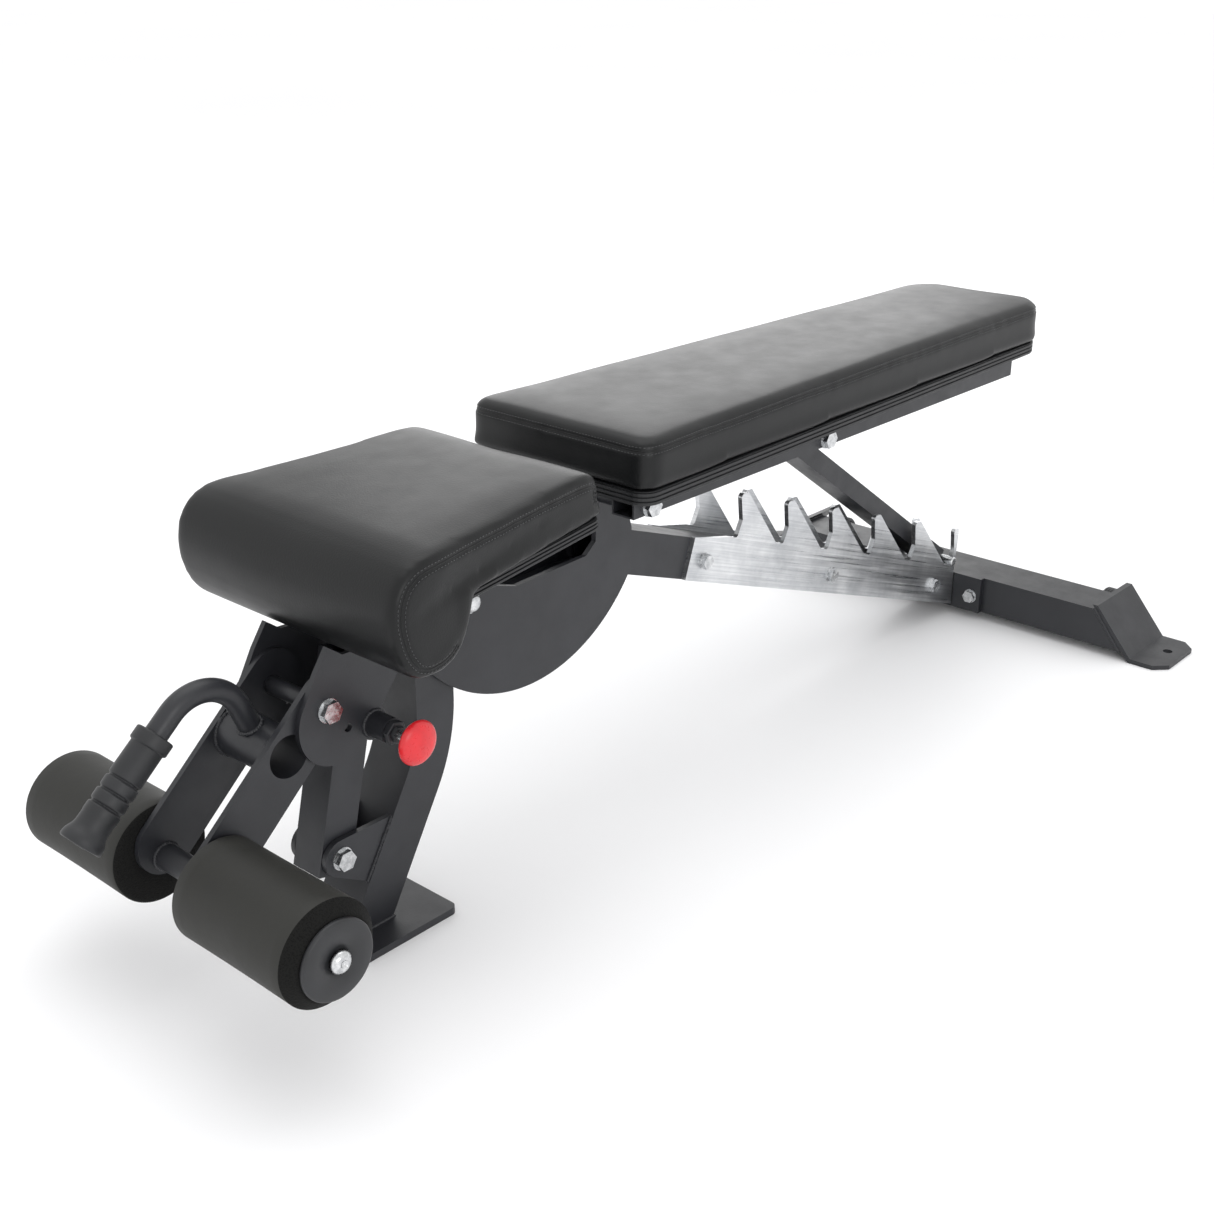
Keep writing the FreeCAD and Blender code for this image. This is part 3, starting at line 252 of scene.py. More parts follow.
def edge_trim():
    """Extruded soft PVC edge trim: flat black, slightly dusty in the grooves."""
    material, tree, body = start_material("Extruded edge trim", Roughness=0.5)
    where = place(tree)
    dust = noise_field(tree, where, 0.02, 5)
    tint(tree, body, dust, linear("131416"), linear("1f2022"))
    tree.links.new(spread(tree, dust, 0.42, 0.58), body.inputs["Roughness"])
    relief(tree, body, noise_field(tree, where, 0.0015, 2), 0.0001, 0.5)
    return material


def foam_skin():
    """NBR foam with a moulded skin: dark olive grey, dull, faintly dimpled."""
    colour = settings().foam_colour
    material, tree, body = start_material("Foam moulded skin", Roughness=0.62,
                                          Specular_IOR_Level=0.4)
    where = place(tree)
    cloud = noise_field(tree, where, 0.05, 4)
    tint(tree, body, cloud, shade(colour, 0.85), shade(colour, 1.15))
    tree.links.new(spread(tree, cloud, 0.56, 0.68), body.inputs["Roughness"])
    fine = relief(tree, body, noise_field(tree, where, 0.0014, 3), 0.00016, 0.6)
    relief(tree, body, noise_field(tree, where, 0.02, 2), 0.0006, 0.5, fine)
    return material


def foam_cut():
    """The same foam where it was cut: blacker, with open cells about 1 mm across and painted shade
    in their hollows.
    """
    material, tree, body = start_material("Foam cut face", Roughness=0.9, Specular_IOR_Level=0.2)
    where = place(tree)
    pore_depth_and_shade = add(tree, "ShaderNodeTexVoronoi", {"Vector": where, "Scale": 1 / 0.0016}).outputs[0]
    # colour darkest in the cell hollows: painted shade, over the cut foam's own black
    tint(tree, body, pore_depth_and_shade, linear("040404"), linear("141413"), 0.1, 0.5)
    relief(tree, body, pore_depth_and_shade, 0.0006, 0.8)
    return material


def moulded_plastic(name="Moulded polypropylene", low="1a1b1d", high="26272a", gloss=0.45):
    """Injection moulded, spark eroded: dark grey with a fine even texture."""
    material, tree, body = start_material(name, Roughness=gloss)
    where = place(tree)
    cloud = noise_field(tree, where, 0.03, 4)
    tint(tree, body, cloud, linear(low), linear(high))
    tree.links.new(spread(tree, cloud, gloss - 0.06, gloss + 0.06), body.inputs["Roughness"])
    relief(tree, body, noise_field(tree, where, 0.0012, 2), 0.00012, 0.5)
    return material


def grip_rubber():
    """Moulded rubber: soft black sheen, slightly bloomed."""
    return moulded_plastic("Moulded grip rubber", "17181a", "242528", 0.5)


def knob_plastic():
    """Glossy red ABS, injection moulded, with faint handling marks."""
    colour = settings().knob_colour
    material, tree, body = start_material("Red moulded plastic", Roughness=0.3,
                                          Coat_Weight=0.15, Coat_Roughness=0.2)
    where = place(tree)
    cloud = noise_field(tree, where, 0.012, 4)
    tint(tree, body, cloud, shade(colour, 0.9), shade(colour, 1.08))
    tree.links.new(spread(tree, noise_field(tree, where, 0.004, 5), 0.24, 0.4),
                   body.inputs["Roughness"])
    relief(tree, body, noise_field(tree, where, 0.002, 2), 0.00006, 0.4)
    return material


FINISHES = {
    "black_paint": powder_coat, "galvanised_steel": galvanised_plate,
    "zinc_steel": zinc_fastener, "black_plastic": moulded_plastic, "board_plastic": edge_trim,
    "red_plastic": knob_plastic, "foam": foam_skin, "grip_rubber": grip_rubber,
    "black_vinyl": upholstery_vinyl, "thread": thread, "foam_cut": foam_cut,
}
MADE = {}


def finish(name):
    """The named finish, made on first use."""
    if name not in MADE:
        MADE[name] = FINISHES[name]()
    return MADE[name]


# ------------------------------------------------------------------ mesh helpers
def to_object(name, mesh_or_bm, *finishes, smooth=True):
    """Object at the origin from a mesh or a bmesh, with its finishes in slot order."""
    if isinstance(mesh_or_bm, bmesh.types.BMesh):
        bmesh.ops.recalc_face_normals(mesh_or_bm, faces=mesh_or_bm.faces)
        mesh = bpy.data.meshes.new(name)
        mesh_or_bm.to_mesh(mesh)
        mesh_or_bm.free()
    else:
        mesh = mesh_or_bm
        mesh.name = name
    if mesh.materials:
        mesh.materials.clear()
    for each in finishes:
        mesh.materials.append(finish(each))
    for polygon in mesh.polygons:
        polygon.use_smooth = smooth
    made = bpy.data.objects.new(name, mesh)
    bpy.context.scene.collection.objects.link(made)
    return made


def plain(made):
    """The object's evaluated mesh, with no modifiers left on it."""
    graph = bpy.context.evaluated_depsgraph_get()
    graph.update()
    mesh = bpy.data.meshes.new_from_object(made.evaluated_get(graph), depsgraph=graph)
    made.modifiers.clear()
    old = made.data
    made.data = mesh
    bpy.data.meshes.remove(old)
    return made


def modify(made, kind, **values):
    """Adds a modifier with its settings and makes the mesh plain again."""
    modifier = made.modifiers.new(kind.title(), kind)
    for key, value in values.items():
        setattr(modifier, key, value)
    return plain(made)


def fit(piece, body, slot, *nodes):
    """Put a finished piece on its body in place of the nodes it stands for; slot is not used."""
    if nodes:
        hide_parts(*nodes)
    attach(piece, body)


def bridge(bm, rings, closed=True, first_cap=True, last_cap=True, slots=None):
    """Faces between rings of points; slots gives a material index for each band."""
    made = [[bm.verts.new(point) for point in ring] for ring in rings]
    count = len(made[0])
    for index in range(len(made) - 1):
        low, high = made[index], made[index + 1]
        for i in range(count if closed else count - 1):
            face = bm.faces.new((low[i], low[(i + 1) % count], high[(i + 1) % count], high[i]))
            face.material_index = slots[index] if slots else 0
    if first_cap:
        bm.faces.new(made[0][::-1]).material_index = slots[0] if slots else 0
    if last_cap:
        bm.faces.new(made[-1]).material_index = slots[-1] if slots else 0
    return bm


def lathe(profile, origin, axis, segments=64, slots=None, six=()):
    """Closed turned shape: profile is (along, radius) points; rings listed in six are hexagons."""
    axis = Vector(axis).normalized()
    side = axis.orthogonal().normalized()
    other = axis.cross(side)
    rings = []
    for number, (along, radius) in enumerate(profile):
        ring = []
        for i in range(segments):
            angle = 2 * math.pi * i / segments
            reach = radius
            if number in six:
                reach = radius / math.cos((angle + math.pi / 6) % (math.pi / 3) - math.pi / 6)
            ring.append(Vector(origin) + axis * along
                        + (side * math.cos(angle) + other * math.sin(angle)) * reach)
        rings.append(ring)
    return bridge(bmesh.new(), rings, slots=slots)


def rounded(corner_list, steps=8):
    """Closed outline from (x, y, radius) corners, each rounded by an arc-like curve."""
    points = []
    count = len(corner_list)
    for i in range(count):
        before, here, after = (Vector(corner_list[(i + k) % count][:2]) for k in (-1, 0, 1))
        radius = corner_list[i][2]
        back, ahead = (before - here).normalized(), (after - here).normalized()
        half = back.angle(ahead) / 2
        cut = min(radius / math.tan(half), (before - here).length * 0.48,
                  (after - here).length * 0.48)
        a, b = here + back * cut, here + ahead * cut
        pull = 0.55 * cut
        points += [p.to_2d() for p in interpolate_bezier(
            a.to_3d(), (a - back * pull).to_3d(), (b - ahead * pull).to_3d(), b.to_3d(), steps)]
    return points


def dense(points, spacing):
    """Closed outline with points about spacing apart."""
    out = []
    for i, here in enumerate(points):
        after = points[(i + 1) % len(points)]
        parts = max(1, int((after - here).length / spacing))
        out += [here.lerp(after, k / parts) for k in range(parts)]
    return out


def smooth_loop(points, per_span=8):
    """Catmull-Rom curve through a closed list of 2D points."""
    out = []
    count = len(points)
    for i in range(count):
        a, b, c, d = (Vector(points[(i + k) % count]) for k in (-1, 0, 1, 2))
        for step in range(per_span):
            t = step / per_span
            out.append(0.5 * ((2 * b) + (c - a) * t + (2 * a - 5 * b + 4 * c - d) * t * t
                              + (3 * b - a - 3 * c + d) * t * t * t))
    return out


def inset(points, amount):
    """Closed outline moved inwards by amount along its own normals."""
    area = sum(points[i].x * points[(i + 1) % len(points)].y
               - points[(i + 1) % len(points)].x * points[i].y for i in range(len(points)))
    way = 1 if area > 0 else -1
    out = []
    for i, here in enumerate(points):
        along = (points[(i + 1) % len(points)] - points[i - 1]).normalized()
        out.append(here + Vector((-along.y, along.x)) * (way * amount))
    return out


# ------------------------------------------------------------------ soft pads
def settle(made, pressure, cap, hold):
    """Swell a pad with a short cloth simulation; hold(point) is 0 where it can't move."""
    rest = [vertex.co.copy() for vertex in made.data.vertices]
    modifier = made.modifiers.new("Fill", "CLOTH")
    cloth = modifier.settings
    cloth.use_pressure = True
    cloth.uniform_pressure_force = pressure
    cloth.effector_weights.gravity = 0
    cloth.quality = 4
    cloth.tension_stiffness = 20
    cloth.compression_stiffness = 20
    cloth.bending_stiffness = 2
    modifier.point_cache.frame_start = 1
    modifier.point_cache.frame_end = 20
    for number in range(1, 21):
        bpy.context.scene.frame_set(number)
    plain(made)
    bpy.context.scene.frame_set(1)
    moves = numpy.array([vertex.co - start for vertex, start in zip(made.data.vertices, rest)])
    length = numpy.linalg.norm(moves, axis=1, keepdims=True)
    moves *= numpy.minimum(1.0, cap / numpy.maximum(length, 1e-9))
    ends = numpy.array([edge.vertices[:] for edge in made.data.edges])
    # averaging the moves keeps the swell and takes out the wrinkles
    count = numpy.bincount(ends.ravel(), minlength=len(moves))[:, None] + 1
    for _ in range(40):
        total = moves.copy()
        numpy.add.at(total, ends[:, 0], moves[ends[:, 1]])
        numpy.add.at(total, ends[:, 1], moves[ends[:, 0]])
        moves = total / count
    for vertex, start, move in zip(made.data.vertices, rest, moves):
        vertex.co = start + Vector(move) * hold(start)
    return made


def seam_groove(made, path, width, depth, seed):
    """Press a seam into a pad along a path, with small puckers beside it."""
    tree = KDTree(len(path))
    for i, point in enumerate(path):
        tree.insert(point, i)
    tree.balance()
    mesh = made.data
    moves = []
    for vertex in mesh.vertices:
        _, index, gap = tree.find(vertex.co)
        if gap < width * 3:
            drop = depth * max(0.0, 1 - (gap / width) ** 2)
            pucker = 0.0005 * math.exp(-(gap / (width * 1.3)) ** 2)
            wave = noise.noise(Vector((index * 0.11, seed, 0)) * 1.7)
            moves.append((vertex.index, -drop + pucker * wave))
    normals = {i: mesh.vertices[i].normal.copy() for i, _ in moves}
    for index, amount in moves:
        mesh.vertices[index].co += normals[index] * amount
    mesh.update()


def snap(made, points, lift=0.0):
    """Points moved onto a pad's surface and lifted off it along its normal."""
    graph = bpy.context.evaluated_depsgraph_get()
    tree = BVHTree.FromObject(made, graph)
    out = []
    for point in points:
        spot, normal, _, _ = tree.find_nearest(Vector(point))
        out.append(spot + normal * lift)
    return out


def repeat_tree(name, kind):
    """Geometry nodes that lay beads or stitches along a polyline and join them."""
    tree = bpy.data.node_groups.new(name, "GeometryNodeTree")
    face = tree.interface
    face.new_socket("Geometry", in_out="INPUT", socket_type="NodeSocketGeometry")
    for label, default in (("Spacing", 0.004), ("Length", 0.003), ("Width", 0.001),
                           ("Height", 0.001)):
        made = face.new_socket(label, in_out="INPUT", socket_type="NodeSocketFloat")
        made.default_value = default
    face.new_socket("Finish", in_out="INPUT", socket_type="NodeSocketMaterial")
    face.new_socket("Geometry", in_out="OUTPUT", socket_type="NodeSocketGeometry")
    start = add(tree, "NodeGroupInput")
    curve = add(tree, "GeometryNodeMeshToCurve", {"Mesh": start.outputs["Geometry"]})
    even = add(tree, "GeometryNodeResampleCurve", {"Curve": curve.outputs[0],
                                                   "Length": start.outputs["Spacing"]},
               mode="LENGTH")
    along = add(tree, "GeometryNodeInputTangent")
    turn = add(tree, "FunctionNodeAlignRotationToVector", {"Vector": along.outputs[0]}, axis="X")
    bead = add(tree, "GeometryNodeMeshUVSphere", {"Segments": 8, "Rings": 5, "Radius": 0.5})
    scale = add(tree, "ShaderNodeCombineXYZ", {"X": start.outputs["Length"],
                                               "Y": start.outputs["Width"],
                                               "Z": start.outputs["Height"]})
    rotation = turn.outputs[0]
    size = scale.outputs[0]
    if kind == "bead":
        vary = add(tree, "FunctionNodeRandomValue", {2: 0.82, 3: 1.15, "Seed": 5},
                   data_type="FLOAT")
        size = add(tree, "ShaderNodeVectorMath", {0: size, "Scale": vary.outputs[1]},
                   operation="SCALE").outputs[0]
    laid = add(tree, "GeometryNodeInstanceOnPoints", {"Points": even.outputs[0],
                                                      "Instance": bead.outputs[0],
                                                      "Rotation": rotation, "Scale": size})
    real = add(tree, "GeometryNodeRealizeInstances", {0: laid.outputs[0]})
    smooth = add(tree, "GeometryNodeSetShadeSmooth", {0: real.outputs[0]})
    coated = add(tree, "GeometryNodeSetMaterial", {"Geometry": smooth.outputs[0],
                                                   "Material": start.outputs["Finish"]})
    end = add(tree, "NodeGroupOutput")
    tree.links.new(coated.outputs[0], end.inputs[0])
    return tree


def repeat_along(name, paths, tree, finish_name, **sizes):
    """Beads or stitches along several paths, as one plain mesh."""
    bm = bmesh.new()
    for path in paths:
        chain = [bm.verts.new(point) for point in path]
        for a, b in zip(chain, chain[1:]):
            bm.edges.new((a, b))
    mesh = bpy.data.meshes.new(name)
    bm.to_mesh(mesh)
    bm.free()
    made = bpy.data.objects.new(name, mesh)
    bpy.context.scene.collection.objects.link(made)
    modifier = made.modifiers.new("Repeat", "NODES")
    modifier.node_group = tree
    wanted = dict(sizes, Finish=finish(finish_name))
    for item in tree.interface.items_tree:
        if item.in_out == "INPUT" and item.name in wanted:
            modifier[item.identifier] = wanted[item.name]
    return plain(made)


def tube_along(name, path, radius, finish_name, closed=False):
    """Round cord along a path, as a mesh."""
    curve = bpy.data.curves.new(name, "CURVE")
    curve.dimensions = "3D"
    curve.bevel_depth = radius
    curve.bevel_resolution = 2
    curve.use_fill_caps = not closed
    spline = curve.splines.new("POLY")
    spline.points.add(len(path) - 1)
    for point, place_at in zip(spline.points, path):
        point.co = (*place_at, 1)
    spline.use_cyclic_u = closed
    holder = bpy.data.objects.new(name + "_line", curve)
    bpy.context.scene.collection.objects.link(holder)
    graph = bpy.context.evaluated_depsgraph_get()
    graph.update()
    mesh = bpy.data.meshes.new_from_object(holder.evaluated_get(graph), depsgraph=graph)
    bpy.data.objects.remove(holder)
    bpy.data.curves.remove(curve)
    return to_object(name, mesh, finish_name)


def even_path(path, spacing, closed=False):
    """Open path resampled to equal steps."""
    points = [Vector(p) for p in path] + ([Vector(path[0])] if closed else [])
    lengths = [0.0]
    for a, b in zip(points, points[1:]):
        lengths.append(lengths[-1] + (b - a).length)
    count = max(2, int(lengths[-1] / spacing))
    out, k = [], 0
    for i in range(count + 1):
        want = lengths[-1] * i / count
        while k < len(lengths) - 2 and lengths[k + 1] < want:
            k += 1
        span = max(lengths[k + 1] - lengths[k], 1e-9)
        out.append(points[k].lerp(points[k + 1], (want - lengths[k]) / span))
    return out


def sew(prefix, pad, seams, body):
    """Seam cord and a row of stitches each side of it, on a pad."""
    values = settings()
    tree = repeat_tree(prefix + "_stitches", "stitch")
    rows = []
    for seam in seams:
        line = even_path(seam, 0.003)
        for drop in (-0.0034, 0.0034):
            shifted = []
            for i, point in enumerate(line):
                along = (line[min(i + 1, len(line) - 1)] - line[max(i - 1, 0)]).normalized()
                normal = pad.closest_point_on_mesh(point)[2]
                shifted.append(point + along.cross(normal).normalized() * drop)
            rows.append(snap(pad, shifted, 0.0002))
    stitches = repeat_along(prefix + "_stitches", rows, tree, "thread",
                            Spacing=values.stitch_spacing, Length=values.stitch_length,
                            Width=0.0009, Height=0.0007)
    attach(stitches, body)
    for number, seam in enumerate(seams):
        line = snap(pad, even_path(seam, 0.004), -0.0003)
        cord = tube_along("%s_seam_%d" % (prefix, number + 1), line, 0.0009, "black_vinyl")
        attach(cord, body)


def seat_profile():
    """Side outline of the seat pad: a rounded lobe at the front and a flat crowned top."""
    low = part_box("seat_pad")[0]
    points = [(39, 0.5), (23, 7), (10, 24), (2.5, 46), (0.5, 66), (4, 84), (14, 99), (29, 108),
              (48, 112), (75, 113.5), (150, 116.5), (250, 120), (280, 120), (295, 116.5),
              (301, 107), (301.5, 90), (300, 76), (250, 71.6), (190, 67), (140, 63.2),
              (110, 61), (103.5, 56), (101, 46), (95, 31), (84, 14), (64, 3)]
    return [Vector((low.x + x * MM, low.z + z * MM)) for x, z in points]


class BENCH_OT_seat_cushion(bpy.types.Operator):
    """Seat pad with a rounded front lobe, welted side panels and stitched seams"""

    bl_idname = "bench.seat_cushion"
    bl_label = "Seat cushion"

    def execute(self, context):
        values = settings()
        low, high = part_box("seat_pad")
        board_low, board_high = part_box("seat_board")
        front_half = high.y
        rear_half = front_half - 0.032
        taper_from = low.x + 0.06

        def half_at(x):
            share = max(0.0, (x - taper_from) / (high.x - taper_from))
            return front_half + (rear_half - front_half) * share

        outline = smooth_loop(seat_profile(), 6)
        levels = [(1.0, 0.0115), (0.995, 0.007), (0.986, 0.0035), (0.972, 0.0012), (0.95, 0.0),
                  (0.6, -0.0), (0.2, -0.0)]
        shares = [(-s, d) for s, d in levels] + [(s, d) for s, d in reversed(levels)]
        rings = []
        for share, depth in shares:
            rings.append([(p.x, share * (half_at(p.x) - 0.0015), p.y)
                          for p in inset(outline, depth)])
        pad = to_object("seat_cushion", bridge(bmesh.new(), rings), "black_vinyl")
        modify(pad, "REMESH", mode="VOXEL", voxel_size=0.005)
        slope = (board_high.z - board_low.z - 0.013) / (board_high.x - board_low.x)

        def hold(point):
            under = board_low.z + 0.0135 + (point.x - board_low.x) * slope
            above = max(0.0, min(1.0, (point.z - under - 0.004) / 0.012))
            in_lobe = max(0.0, min(1.0, (low.x + 0.09 - point.x) / 0.01))
            return max(above, in_lobe * 0.8)

        settle(pad, values.pad_fill, 0.0045, hold)
        modify(pad, "SMOOTH", factor=0.5, iterations=3)
        modify(pad, "SUBSURF", levels=1, render_levels=1)

        drop = values.seam_drop
        seams = []
        inner = inset(outline, drop)
        start = len(outline) - 2 * 6
        chain = inner[start:] + inner[:15 * 6]
        for sign in (-1, 1):
            path = [(p.x, sign * (half_at(p.x) + 0.004), p.y) for p in chain]
            seams.append(snap(pad, path))
        rear = [(high.x + 0.003, y * rear_half, chain[-1].y + 0.002)
                for y in (-0.93, -0.6, -0.2, 0.2, 0.6, 0.93)]
        seams.append(snap(pad, even_path(rear, 0.01)))
        for number, seam in enumerate(seams):
            seam_groove(pad, even_path(seam, 0.003), 0.0045, 0.0012, number)
        for polygon in pad.data.polygons:
            polygon.use_smooth = True
        fit(pad, "seat", "black_vinyl", "seat_pad")
        sew("seat", pad, seams, "seat")
        return {"FINISHED"}


def back_outline(shrink):
    """Plan of the backrest: tapered, small corners at the seat end and cut ones at the head."""
    low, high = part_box("back_pad")
    half, head = high.y - shrink, 0.107 - shrink
    long = high.x - low.x
    corners = [(low.x + shrink, -half, 0.022), (high.x - 0.034, -head, 0.05),
               (high.x - shrink, -head + 0.03, 0.026), (high.x - shrink, head - 0.03, 0.026),
               (high.x - 0.034, head, 0.05), (low.x + shrink, half, 0.022)]
    return dense(rounded(corners), long / 90)


class BENCH_OT_back_cushion(bpy.types.Operator):
    """Long tapered back pad with a crowned top and a stitched seam all round"""

    bl_idname = "bench.back_cushion"
    bl_label = "Back cushion"

    def execute(self, context):
        values = settings()
        low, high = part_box("back_pad")
        outline = back_outline(0.0004)
        top = high.z
        levels = [(0.0012, low.z + 0.0002), (0.0, low.z + 0.004), (0.0, low.z + 0.02),
                  (0.0, top - 0.012), (0.001, top - 0.007), (0.004, top - 0.0032),
                  (0.009, top - 0.0012), (0.016, top - 0.0006), (0.04, top - 0.0004),
                  (0.075, top - 0.0004)]
        rings = [[(p.x, p.y, z) for p in inset(outline, depth)] for depth, z in levels]
        pad = to_object("back_cushion", bridge(bmesh.new(), rings), "black_vinyl")
        modify(pad, "REMESH", mode="VOXEL", voxel_size=0.0058)

        def hold(point):
            return max(0.0, min(1.0, (point.z - low.z - 0.004) / 0.012))

        settle(pad, values.pad_fill, 0.004, hold)
        modify(pad, "SMOOTH", factor=0.5, iterations=3)
        modify(pad, "SUBSURF", levels=1, render_levels=1)
        loop = [(p.x, p.y, top - values.seam_drop) for p in inset(outline, -0.004)]
        seam = snap(pad, even_path(loop, 0.006, closed=True))
        seam_groove(pad, even_path(seam, 0.003), 0.0045, 0.0012, 7)
        for polygon in pad.data.polygons:
            polygon.use_smooth = True
        fit(pad, "backrest", "black_vinyl", "back_pad")
        sew("back", pad, [seam], "backrest")
        return {"FINISHED"}


class BENCH_OT_board_trims(bpy.types.Operator):
    """Boards under both pads, wrapped in a ribbed edge trim"""

    bl_idname = "bench.board_trims"
    bl_label = "Board trims"

    def execute(self, context):
        rib = settings().rib_depth

        def ribbed(outline, thick):
            levels = [(0.002, 0.0), (0.0006, 0.0006)]
            count = 3
            pitch = (thick - 0.0016) / count
            for i in range(count):
                base = 0.0008 + i * pitch
                levels += [(0.0, base + 0.0005), (0.0, base + pitch * 0.66),
                           (rib, base + pitch * 0.78), (rib, base + pitch * 0.97)]
            levels += [(0.0006, thick - 0.0005), (0.002, thick - 0.0001)]
            return [[(p.x, p.y, z) for p in inset(outline, depth)] for depth, z in levels]

        low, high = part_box("back_board")
        back = to_object("back_trim", bridge(bmesh.new(), ribbed(back_outline(0.0035),
                                                                 high.z - low.z)),
                         "board_plastic", smooth=False)
        for vertex in back.data.vertices:
            vertex.co.z += low.z
        fit(back, "backrest", "board_plastic", "back_board")

        low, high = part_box("seat_board")
        pad_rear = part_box("seat_pad")[1].x
        thick = 0.013
        slope = math.atan2(high.z - low.z - thick, high.x - low.x)
        long = (pad_rear - low.x - 0.001) / math.cos(slope)
        front, rear = high.y - 0.008, high.y - 0.020
        corners = [(0.0, -front, 0.004), (long, -rear, 0.012), (long, rear, 0.012),
                   (0.0, front, 0.004)]
        seat = to_object("seat_trim", bridge(bmesh.new(), ribbed(dense(rounded(corners), 0.01),
                                                                 thick)),
                         "board_plastic", smooth=False)
        turn = Matrix.Translation((low.x + 0.001, 0, low.z)) @ Matrix.Rotation(-slope, 4, "Y")
        seat.data.transform(turn)
        fit(seat, "seat", "board_plastic", "seat_board")
        return {"FINISHED"}


class BENCH_OT_rollers(bpy.types.Operator):
    """Foam rollers with a moulded skin, cut ends, plastic end caps and button bolts"""

    bl_idname = "bench.rollers"
    bl_label = "Leg rollers"

    def execute(self, context):
        for side, body in (("l", "roller_left"), ("r", "roller_right")):
            low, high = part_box("roller_foam_" + side)
            sign = 1 if side == "l" else -1
            centre = Vector(((low.x + high.x) / 2, (low.y + high.y) / 2, (low.z + high.z) / 2))
            half, radius = (high.y - low.y) / 2, (high.z - low.z) / 2
            bore = 0.0127
            profile = [(-half + 0.001, bore), (-half, bore + 0.002), (-half, radius - 0.0035),
                       (-half + 0.0026, radius - 0.0008), (-half + 0.0034, radius)]
            profile += [(-half + 0.0034 + (2 * half - 0.0144) * i / 12,
                         radius - 0.0005 * math.sin(math.pi * i / 12)) for i in range(1, 12)]
            skin_ends = len(profile)
            profile += [(half - 0.011, radius), (half - 0.0102, radius - 0.0006),
                        (half - 0.0022, radius - 0.0088), (half - 0.0004, radius - 0.0105),
                        (half, radius - 0.0135), (half, bore + 0.002), (half - 0.001, bore)]
            slots = [1] * 3 + [0] * (skin_ends - 3) + [1] * (len(profile) - skin_ends)
            foam = to_object("foam_roller_" + side,
                             lathe_hollow(profile, centre, (0, sign, 0), 96, slots),
                             "foam", "foam_cut")
            fit(foam, body, "foam", "roller_foam_" + side)

            low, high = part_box("roller_cap_" + side)
            reach, thick = (high.z - low.z) / 2, high.y - low.y
            start = low.y if sign > 0 else high.y
            cap = to_object("roller_end_cap_" + side, lathe_hollow(
                [(0.0002, 0.0052), (0.0002, reach - 0.0012), (0.0012, reach),
                 (thick - 0.0022, reach), (thick - 0.0008, reach - 0.0007),
                 (thick, reach - 0.0025), (thick, 0.0155), (thick - 0.0012, 0.0145),
                 (thick - 0.0012, 0.0052)],
                (centre.x, start, centre.z), (0, sign, 0), 96), "black_plastic")
            fit(cap, body, "black_plastic", "roller_cap_" + side)

            low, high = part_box("roller_bolt_" + side)
            tip = high.y if sign > 0 else low.y
            head = 0.0108
            bolt = to_object("button_bolt_" + side, lathe(
                [(-0.03, 0.0049), (-0.0072, 0.0049), (-0.0070, head), (-0.0052, head),
                 (-0.0030, head * 0.9), (-0.0012, head * 0.68), (-0.0003, head * 0.47),
                 (-0.0004, 0.0036), (-0.0034, 0.0034), (-0.0036, 0.001)],
                (centre.x, tip, centre.z), (0, sign, 0), 48, six=(7, 8)), "zinc_steel")
            fit(bolt, "seat", "zinc_steel", "roller_bolt_" + side)
        return {"FINISHED"}


def lathe_hollow(profile, origin, axis, segments=64, slots=None):
    """Turned shape with a bore: the last ring joins back to the first."""
    axis = Vector(axis).normalized()
    side = axis.orthogonal().normalized()
    other = axis.cross(side)
    bm = bmesh.new()
    rings = []
    for along, radius in list(profile):
        rings.append([bm.verts.new(Vector(origin) + axis * along + radius * (
            side * math.cos(2 * math.pi * i / segments)
            + other * math.sin(2 * math.pi * i / segments))) for i in range(segments)])
    rings.append(rings[0])
    for index in range(len(rings) - 1):
        low, high = rings[index], rings[index + 1]
        for i in range(segments):
            face = bm.faces.new((low[i], low[(i + 1) % segments], high[(i + 1) % segments],
                                 high[i]))
            face.material_index = slots[index] if slots and index < len(slots) else 0
    return bm


class BENCH_OT_hand_grip(bpy.types.Operator):
    """Rubber grip on the pull handle: collar, three grooves and a flared end"""

    bl_idname = "bench.hand_grip"
    bl_label = "Hand grip"

    def execute(self, context):
        low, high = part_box("handle_grip")
        # the grip's axis runs down and forwards from the crest of the handle
        axis = Vector((-0.7592, 0, -0.6508)).normalized()
        mid = (low + high) / 2
        length = 0.112
        start = Vector((mid.x, 0, mid.z)) - axis * (length / 2)
        bore = 0.0111
        profile = [(0.0, bore), (0.0, 0.0168), (0.0010, 0.0180), (0.0120, 0.0180),
                   (0.0130, 0.0170), (0.0134, 0.0157)]
        for groove in (0.047, 0.060, 0.073):
            profile += [(groove - 0.0012, 0.0159), (groove, 0.0141), (groove + 0.0012, 0.0141),
                        (groove + 0.0024, 0.0161), (groove + 0.0100, 0.0161)]
        profile += [(0.0850, 0.0157), (0.0940, 0.0158), (0.0980, 0.0166), (0.1010, 0.0181),
                    (0.1040, 0.0194), (0.1070, 0.0199), (0.1098, 0.0200), (0.1112, 0.0195),
                    (0.1118, 0.0182), (0.1118, bore)]
        grip = to_object("rubber_grip", lathe_hollow(profile, start, axis, 72), "grip_rubber")
        modify(grip, "BEVEL", width=0.0006, segments=2, limit_method="ANGLE", angle_limit=0.6)
        fit(grip, "seat", "grip_rubber", "handle_grip")
        plug = to_object("handle_plug", lathe([(0.0, 0.0085), (0.0, 0.0104), (0.0012, 0.0109),
                                               (0.0022, 0.0100), (0.0026, 0.004)],
                                              start + axis * (length - 0.002), axis, 48),
                         "grip_rubber")
        fit(plug, "seat", "grip_rubber")
        return {"FINISHED"}


